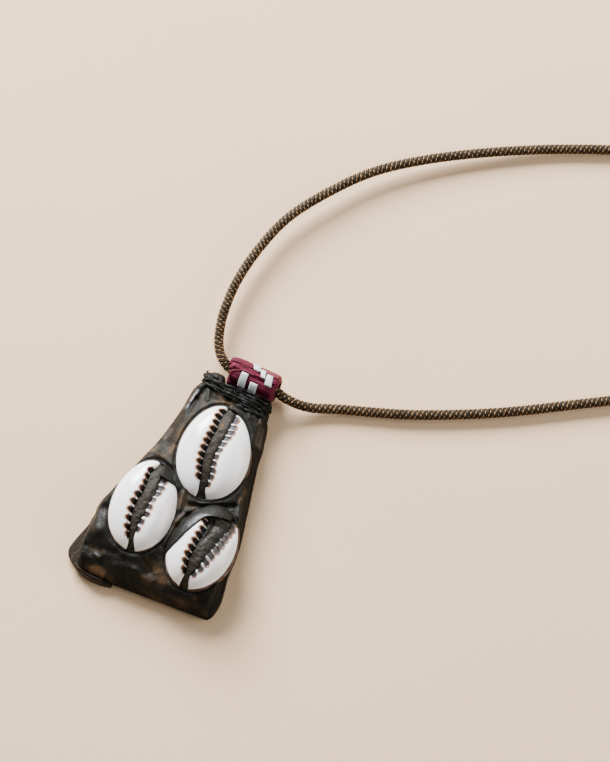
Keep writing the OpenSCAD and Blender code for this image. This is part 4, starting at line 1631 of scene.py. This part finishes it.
@dataclass
class BackPanel:
    """Back leather, which shows past the packet as a layered edge and a rounded flap."""

    outline: Table = (
        (-9.3, 20.2), (-10.1, 18.7), (-10.3, 16.5), (-10.4, 14.2), (-10.7, 11.9), (-11.1, 9.5),
        (-11.6, 7.0), (-12.1, 4.6), (-12.8, 2.1), (-13.4, -0.4), (-14.0, -2.9), (-14.9, -6.6),
        (-15.8, -10.1), (-16.6, -12.7), (-17.2, -15.3), (-17.5, -17.6), (-17.6, -19.8), (-18.2, -22.0),
        (-18.8, -24.5), (-19.1, -26.4), (-18.8, -27.8), (-18.0, -28.8), (-16.6, -29.5), (-14.4, -29.8),
        (-6.0, -29.8), (4.0, -29.3), (13.0, -28.7), (17.0, -28.4), (18.1, -27.2), (18.5, -25.0),
        (18.4, -22.6), (17.9, -20.0), (17.4, -17.6), (17.2, -13.5), (16.9, -10.6), (16.0, -6.2),
        (15.2, -3.0), (14.4, 0.3), (13.5, 4.0), (12.6, 7.6), (11.9, 11.0), (11.6, 13.4),
        (11.0, 16.0), (10.3, 18.7), (9.8, 20.0), (8.8, 20.6), (6.0, 20.7), (-5.0, 20.8),
        (-8.3, 20.8),
    )
    # Edge of the packet's own turned-in layer, which shows between packet and panel at the bottom left
    layer: Table = (
        (-14.0, -19.0), (-15.6, -20.0), (-16.3, -23.0), (-16.7, -26.0), (-17.3, -28.0), (-17.1, -29.4),
        (-16.0, -30.3), (-14.6, -30.7), (-12.4, -30.5), (-11.0, -28.0), (-12.0, -22.0),
    )
    thick: float = 1.4
    layer_thick: float = 1.1
    steps: int = 8

    def sheet(self, bm: bmesh.types.BMesh, outline: Table, low: float, high: float) -> None:
        """Cuts one layer of leather with a rounded, slightly uneven edge.

        Args:
            bm: the mesh that is added to, with the layers wear and wall.
            outline: the layer's outline, in millimetres.
            low: height of its underside.
            high: height of its top.
        """
        closed = [*outline, outline[0]]
        ring = spline([(x, y, 0.0) for x, y in closed], self.steps)[:-1]
        middle = ring.mean(axis=0)
        out = (ring - middle) / np.linalg.norm(ring - middle, axis=1)[:, None]
        ring = ring + out * np.minimum(0.0, rough(ring, 3.0, 4.0)[:, None] * 0.2)
        verts = [bm.verts.new((p[0] * MM, p[1] * MM, low * MM)) for p in ring]
        face = bm.faces.new(verts)
        made = bmesh.ops.extrude_face_region(bm, geom=[face])["geom"]
        top = [g for g in made if isinstance(g, bmesh.types.BMVert)]
        bmesh.ops.translate(bm, verts=top, vec=(0, 0, (high - low) * MM))
        both = set(verts) | set(top)
        own = [e for e in bm.edges if set(e.verts) <= both]
        rims = [e for e in own if abs(e.verts[0].co.z - e.verts[1].co.z) < 1e-7]
        bevelled = bmesh.ops.bevel(
            bm, geom=rims, offset=0.26 * MM, segments=3, profile=0.5, affect="EDGES", material=-1)["verts"]
        wear = bm.verts.layers.float["wear"]
        for v in {*bevelled, *(v for v in both if v.is_valid)}:
            edge = low + 0.3 < v.co.z / MM < high - 0.02
            v[wear] = 0.5 if edge else 0.3

    def build(self) -> bpy.types.Object:
        """Builds the panel and the layer above it.

        Returns:
            The panel.
        """
        bm = fresh("wear", "wall")
        self.sheet(bm, self.outline, 0.02, self.thick)
        self.sheet(bm, self.layer, self.thick + 0.06, self.thick + self.layer_thick)
        outward(bm)
        for f in bm.faces:
            f.smooth = len(f.verts) < 8
        finish = WaxedLeather("back_leather", rough_low=0.5, browning=0.48, relief=0.16, seed=7.0)
        made_panel = finished(bm, "back_leather", finish.make())
        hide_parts("back_panel")
        return made_panel


@dataclass
class CornerTab:
    """Tab of leather folded up over the bottom edge at the left corner."""

    outside: Table = (
        (-15.8, -30.2, 1.4), (-14.4, -30.9, 1.8), (-12.0, -31.5, 2.1),
        (-10.0, -31.6, 2.1), (-8.1, -31.45, 1.9), (-6.2, -31.0, 1.4),
    )
    inside: Table = (
        (-15.2, -29.9, 1.8), (-13.9, -30.4, 2.4), (-11.8, -30.75, 2.7),
        (-9.9, -30.75, 2.7), (-8.0, -30.7, 2.4), (-6.4, -30.5, 1.8),
    )
    low: float = 0.2
    # Wear along the folded part, from the bottom edge inwards
    wear: Sequence[float] = (0.5, 0.6, 0.5, 0.3, 0.1, 0.0, 0.2, 0.4, 0.55, 0.5, 0.3, 0.2)

    def build(self) -> bpy.types.Object:
        """Builds the tab: a wall up from below and a part that is rolled over.

        Returns:
            The tab.
        """
        outer, inner = spline(self.outside, 8), spline(self.inside, 8)
        n = len(outer)
        rise = np.linspace(0, 1, 7)
        wall = outer[None, :, :].repeat(7, 0)
        for k, t in enumerate(rise):
            wall[k, :, 2] = self.low + (outer[:, 2] - self.low) * t
        over = np.stack([
            outer + (inner - outer) * t + np.array([0, 0, 0.3 * abs(math.sin(2 * math.pi * t))])
            for t in np.linspace(0.1, 1, len(self.wear))])
        rows = np.concatenate([wall, over], axis=0)
        bm = fresh("wear")
        verts = grid(bm, rows)
        paint(bm, verts, wear=np.repeat(np.concatenate([rise * 0.2, self.wear]), n))
        skirt(bm, lambda p: (p[0], max(p[1], -30.2) + 0.02, min(p[2] - 0.3, 3.2)))
        outward(bm)
        finish = WaxedLeather("tab_leather", seed=9.0)
        made = finished(bm, "corner_tab", finish.make())
        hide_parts("corner_fold")
        return made


@dataclass
class NeckBinding:
    """Waxed threads wound round the neck, with loose turns crossing them."""

    mid_x: float = 0.2
    mid_z: float = 3.6
    half_w: float = 8.35
    half_h: float = 2.96
    per_turn: int = 110
    # Each turn's place along the neck: at the right, over the top and at the left
    turns: Table = ((21.2, 21.5, 21.9), (22.1, 22.25, 23.0), (23.1, 23.0, 24.1))
    # Threads that cross the turns: start and end round the neck (0 right, 0.5 top, 1 left), the places along
    # it there, stand-out and radius
    crossing: Table = (
        (0.48, 0.02, 19.4, 20.5, 0.35, 0.42), (0.2, -0.16, 21.9, 21.2, 0.42, 0.42),
        (0.14, -0.2, 23.6, 22.7, 0.46, 0.42), (0.1, -0.16, 20.9, 20.6, 0.5, 0.4),
        (0.24, -0.1, 24.4, 23.9, 0.1, 0.34), (0.92, 0.3, 22.2, 24.0, 0.48, 0.22),
        (0.62, 0.1, 21.0, 19.7, 0.45, 0.2), (1.04, 0.56, 24.7, 22.5, 0.5, 0.26),
        (0.42, -0.05, 23.6, 21.9, 0.5, 0.2), (0.64, 1.06, 24.0, 25.0, 0.1, 0.42),
        (0.7, 1.04, 23.2, 24.2, 0.4, 0.3), (0.56, 0.98, 22.6, 25.4, 0.3, 0.24),
    )
    step: float = 0.22

    def loop(self, a: np.ndarray, y: np.ndarray, grow: float) -> np.ndarray:
        """Points round the neck.

        Args:
            a: angle in radians, 0 on the right and a quarter turn at the top.
            y: place along the neck.
            grow: distance added outwards.

        Returns:
            The points.
        """
        c, s = np.cos(a), np.sin(a)
        square = np.where(s < 0, 0.36, 0.6)
        x = self.mid_x + (self.half_w + grow) * np.sign(c) * np.abs(c) ** square
        z = self.mid_z + (self.half_h + grow) * np.sign(s) * np.abs(s) ** square
        return np.stack([x, y, np.maximum(z, 0.62)], axis=1)

    def strand(self, bm: bmesh.types.BMesh, path: np.ndarray, r: float, plies: int, lay: float) -> None:
        """Twists a thread from plies along a path.

        Args:
            bm: the mesh that is added to.
            path: the thread's middle line.
            r: its radius.
            plies: number of plies.
            lay: length in which a ply goes round once.
        """
        line = even(path, self.step)
        line = line + np.stack([rough(line, 1.8, k + r * 10, 3) for k in range(3)], axis=1) * 0.24
        one, two = carried(line, (0.0, 1.0, 0.01))
        along = np.arange(len(line)) * self.step
        for k in range(plies):
            turn = 2 * np.pi * (along / lay + k / plies)
            out = np.cos(turn)[:, None] * one + np.sin(turn)[:, None] * two
            stray = np.stack([rough(line, 1.1, k * 7 + j + r * 31, 2) for j in range(3)], axis=1) * 0.16
            p = line + out * r * 0.52 + stray
            across, lift = carried(p, (0.0, 1.0, 0.01))
            sweep(bm, p, across, lift, r * 0.52, r * 0.52, 7)

    def build(self) -> bpy.types.Object:
        """Winds the threads.

        Returns:
            The binding.
        """
        bm = bmesh.new()
        places = [(-1.0, self.turns[0][0] - 0.3)]
        for k, (right, top, left) in enumerate(self.turns):
            after = self.turns[k + 1][0] if k + 1 < len(self.turns) else left + 0.3
            places += [(4 * k, right), (4 * k + 1, top), (4 * k + 2, left), (4 * k + 3, (left + after) / 2)]
        knots = np.array([(0.0, y, quarter_turn) for quarter_turn, y in places])
        smooth = spline(knots, self.per_turn // 4)
        main = self.loop(smooth[:, 2] * np.pi / 2, smooth[:, 1], 0.0)
        self.strand(bm, main, 0.5, 4, 11.0)
        for start, end, y0, y1, grow, r in self.crossing:
            t = np.linspace(0, 1, 80)
            a = np.pi * (start + (end - start) * t)
            self.strand(bm, self.loop(a, y0 + (y1 - y0) * t, grow), r, 3, 7.0)
        outward(bm)
        made = finished(bm, "waxed_binding", WaxedThread().make())
        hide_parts("neck_binding")
        return made


@dataclass
class Bail:
    """Loop across the top, bound with bands of maroon thread and white strips woven through them."""

    x: float = -3.2
    y: float = 27.75
    z: float = 4.5
    length: float = 11.8
    radius: float = 3.7
    bore: float = 1.7
    # Bands round the bail: angle from +Y towards +Z, half width, stand-out, left overhang, brightness
    bands: Table = (
        (16.0, 0.95, -0.1, 0.3, 0.5), (51.0, 1.3, 0.04, 0.8, 0.75), (84.0, 0.8, 0.12, 0.2, 0.95),
        (121.0, 1.65, 0.05, -0.3, 0.5), (167.0, 1.2, 0.0, -0.2, 0.6), (204.0, 1.1, -0.02, 0.0, 0.5),
        (238.0, 1.05, -0.05, 0.0, 0.5), (272.0, 1.05, -0.1, 0.0, 0.4), (306.0, 1.05, -0.05, 0.0, 0.5),
        (341.0, 1.1, -0.05, 0.0, 0.5),
    )
    thread_r: float = 0.24
    piping_r: float = 0.13
    sides: int = 7
    # Faded piping that lies in the grooves between the bands: places along the bail and angles
    piping: Sequence[Table] = (
        ((-3.2, 96.0), (-2.9, 92.0), (-2.45, 82.0), (-1.5, 75.5), (-0.4, 72.0), (0.8, 73.0), (1.5, 75.0),
         (3.4, 73.0)),
        ((-3.0, 121.0), (-2.9, 116.0), (-2.4, 106.0), (-1.6, 99.0), (-0.7, 92.0), (0.3, 89.0), (1.1, 88.0),
         (2.6, 92.0)),
        ((3.4, 60.0), (5.0, 61.5), (6.6, 61.0), (8.2, 60.0)),
    )
    # White strips: first angle and the strip's left and right edges there, last angle and its edges there
    strips: Table = (
        (95.0, -0.2, 1.55, 154.0, -0.1, 1.7), (117.0, 2.6, 4.5, 181.0, 2.7, 4.6),
        (65.0, 5.4, 7.0, 108.0, 5.9, 7.7), (42.0, 1.1, 3.2, 70.0, 2.05, 3.75),
        (54.0, 3.5, 4.9, 88.0, 4.35, 5.5),
    )

    def out(self, degrees: float) -> np.ndarray:
        """Direction away from the bail's axis at an angle."""
        a = math.radians(degrees)
        return np.array([0.0, math.cos(a), math.sin(a)])

    def point(self, x: float, degrees: float, r: float) -> np.ndarray:
        """Point of the bail's surface, at a distance from its axis."""
        return np.array([x, self.y, self.z]) + self.out(degrees) * r

    def band(self, bm: bmesh.types.BMesh, angle: float, half: float, stand: float, over: float,
             bright: float) -> None:
        """Lays one band of threads along the bail and round both its ends.

        Args:
            bm: the mesh that is added to, with the layers tint and faded.
            angle: the band's place round the bail, in degrees.
            half: half its width.
            stand: how far it stands out past the others.
            over: how far it hangs past the left end.
            bright: its colour, from 0 for brown to 1 for bright maroon.
        """
        inner = self.bore + 0.3
        origin = np.array([self.x, self.y, self.z])
        n = self.length
        threads = max(4, round(half * 2 / (self.thread_r * 1.7)))
        for k in range(threads):
            q = (k / (threads - 1) - 0.5) * 2
            r = self.radius - self.thread_r + stand - 0.34 * q**4
            turn = angle + math.degrees(q * (half - self.thread_r) / r)
            out, side = self.out(turn), self.out(turn + 90.0)
            line = [
                (0.6, inner), (0.1 - over * 0.7, inner + 0.6), (-over, r - 1.0), (0.3 - over * 0.9, r - 0.25),
                (1.3, r), (n / 2, r), (n - 1.4, r), (n - 0.45, r - 0.25), (n - 0.05, r - 1.0),
                (n - 0.1, inner + 0.6), (n - 0.6, inner)]
            path = spline([origin + np.array([a, 0, 0]) + out * h for a, h in line], 9)
            wave = rough(path, 1.6, angle + k, 2)
            path = path + side[None, :] * wave[:, None] * 0.14 + out[None, :] * wave[::-1, None] * 0.05
            across = np.broadcast_to(side, path.shape)
            lift = np.cross(across, directions(path))
            shade = bright * (0.75 + 0.5 * noise.noise(Vector((angle * 0.37, k * 1.9, 3.0))))
            sun = float(28.0 < turn < 62.0) * ease((path[:, 0] - 3.2) / 0.8)
            sweep(
                bm, path, across, lift, self.thread_r * 1.15, self.thread_r, self.sides,
                tint=0 * sun + shade, faded=sun,
            )

    def build(self) -> bpy.types.Object:
        """Builds the bands of thread and the piping between them.

        Returns:
            The bound bail.
        """
        bm = fresh("tint", "faded")
        for band in self.bands:
            self.band(bm, *band)
        for knots in self.piping:
            spots = spline([(x, a, 0.0) for x, a in knots], 8)
            path = np.array([self.point(x, a, self.radius + 0.02) for x, a, _ in spots])
            across, lift = carried(path, (0.0, 1.0, 0.0))
            full = np.ones(len(path))
            sweep(bm, path, across, lift, self.piping_r, self.piping_r, self.sides, tint=full, faded=full)
        path = np.array([(self.x + self.length * t, self.y, self.z) for t in np.linspace(0.05, 0.95, 12)])
        across, lift = carried(path, (0.0, 1.0, 0.0))
        for turn in np.arange(0, 360, 24.0):
            sweep(bm, path + self.out(turn) * (self.radius - 1.25), across, lift, 0.8, 0.8, 8)
        outward(bm)
        made = finished(bm, "wound_bail", WoundThread().make())
        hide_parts("bail")
        return made

    def white(self) -> None:
        """Builds the white strips."""
        finish = WhiteStrip().make()
        for k, (first, left0, right0, last, left1, right1) in enumerate(self.strips, 1):
            t = np.linspace(0, 1, 24)
            ends = np.minimum(1.0, np.minimum(t, 1 - t) * 23 / 2.5)
            r = self.radius + 0.08 + 0.18 * np.sin(np.pi / 2 * ends)
            middle = (left0 + right0) / 2 * (1 - t) + (left1 + right1) / 2 * t
            half = (right0 - left0) / 2 * (1 - t) + (right1 - left1) / 2 * t
            turns = first + (last - first) * t
            path = np.array([self.point(x, a, h) for x, a, h in zip(middle, turns, r)])
            across = np.broadcast_to(np.array([1.0, 0.0, 0.0]), path.shape)
            lift = np.array([self.out(a) for a in turns])
            bm = bmesh.new()
            sweep(bm, path, across, lift, half, 0.11, 10)
            outward(bm)
            strip = finished(bm, f"white_strip_{k}", finish)
            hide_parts(f"bail_strip_{k}")


def write_sizes() -> None:
    """Updates the view layer."""
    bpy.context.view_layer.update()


def main() -> None:
    """Builds the set and then the amulet, piece by piece."""
    logging.basicConfig(level=logging.INFO, format="%(name)s: %(message)s")
    studio = Studio()
    studio.camera()
    studio.lights()
    studio.floor()
    cord = NeckCord()
    rope = cord.build()
    clasp = Clasp().build()
    cord.declare()
    shells = three_cowries()
    packet = LeatherPacket(shells)
    packet.build()
    for shell in shells:
        shell.build()
        packet.strip(shell)
    BackPanel().build()
    CornerTab().build()
    NeckBinding().build()
    bail = Bail()
    bail.build()
    bail.white()
    write_sizes()


if __name__ == "__main__":
    main()
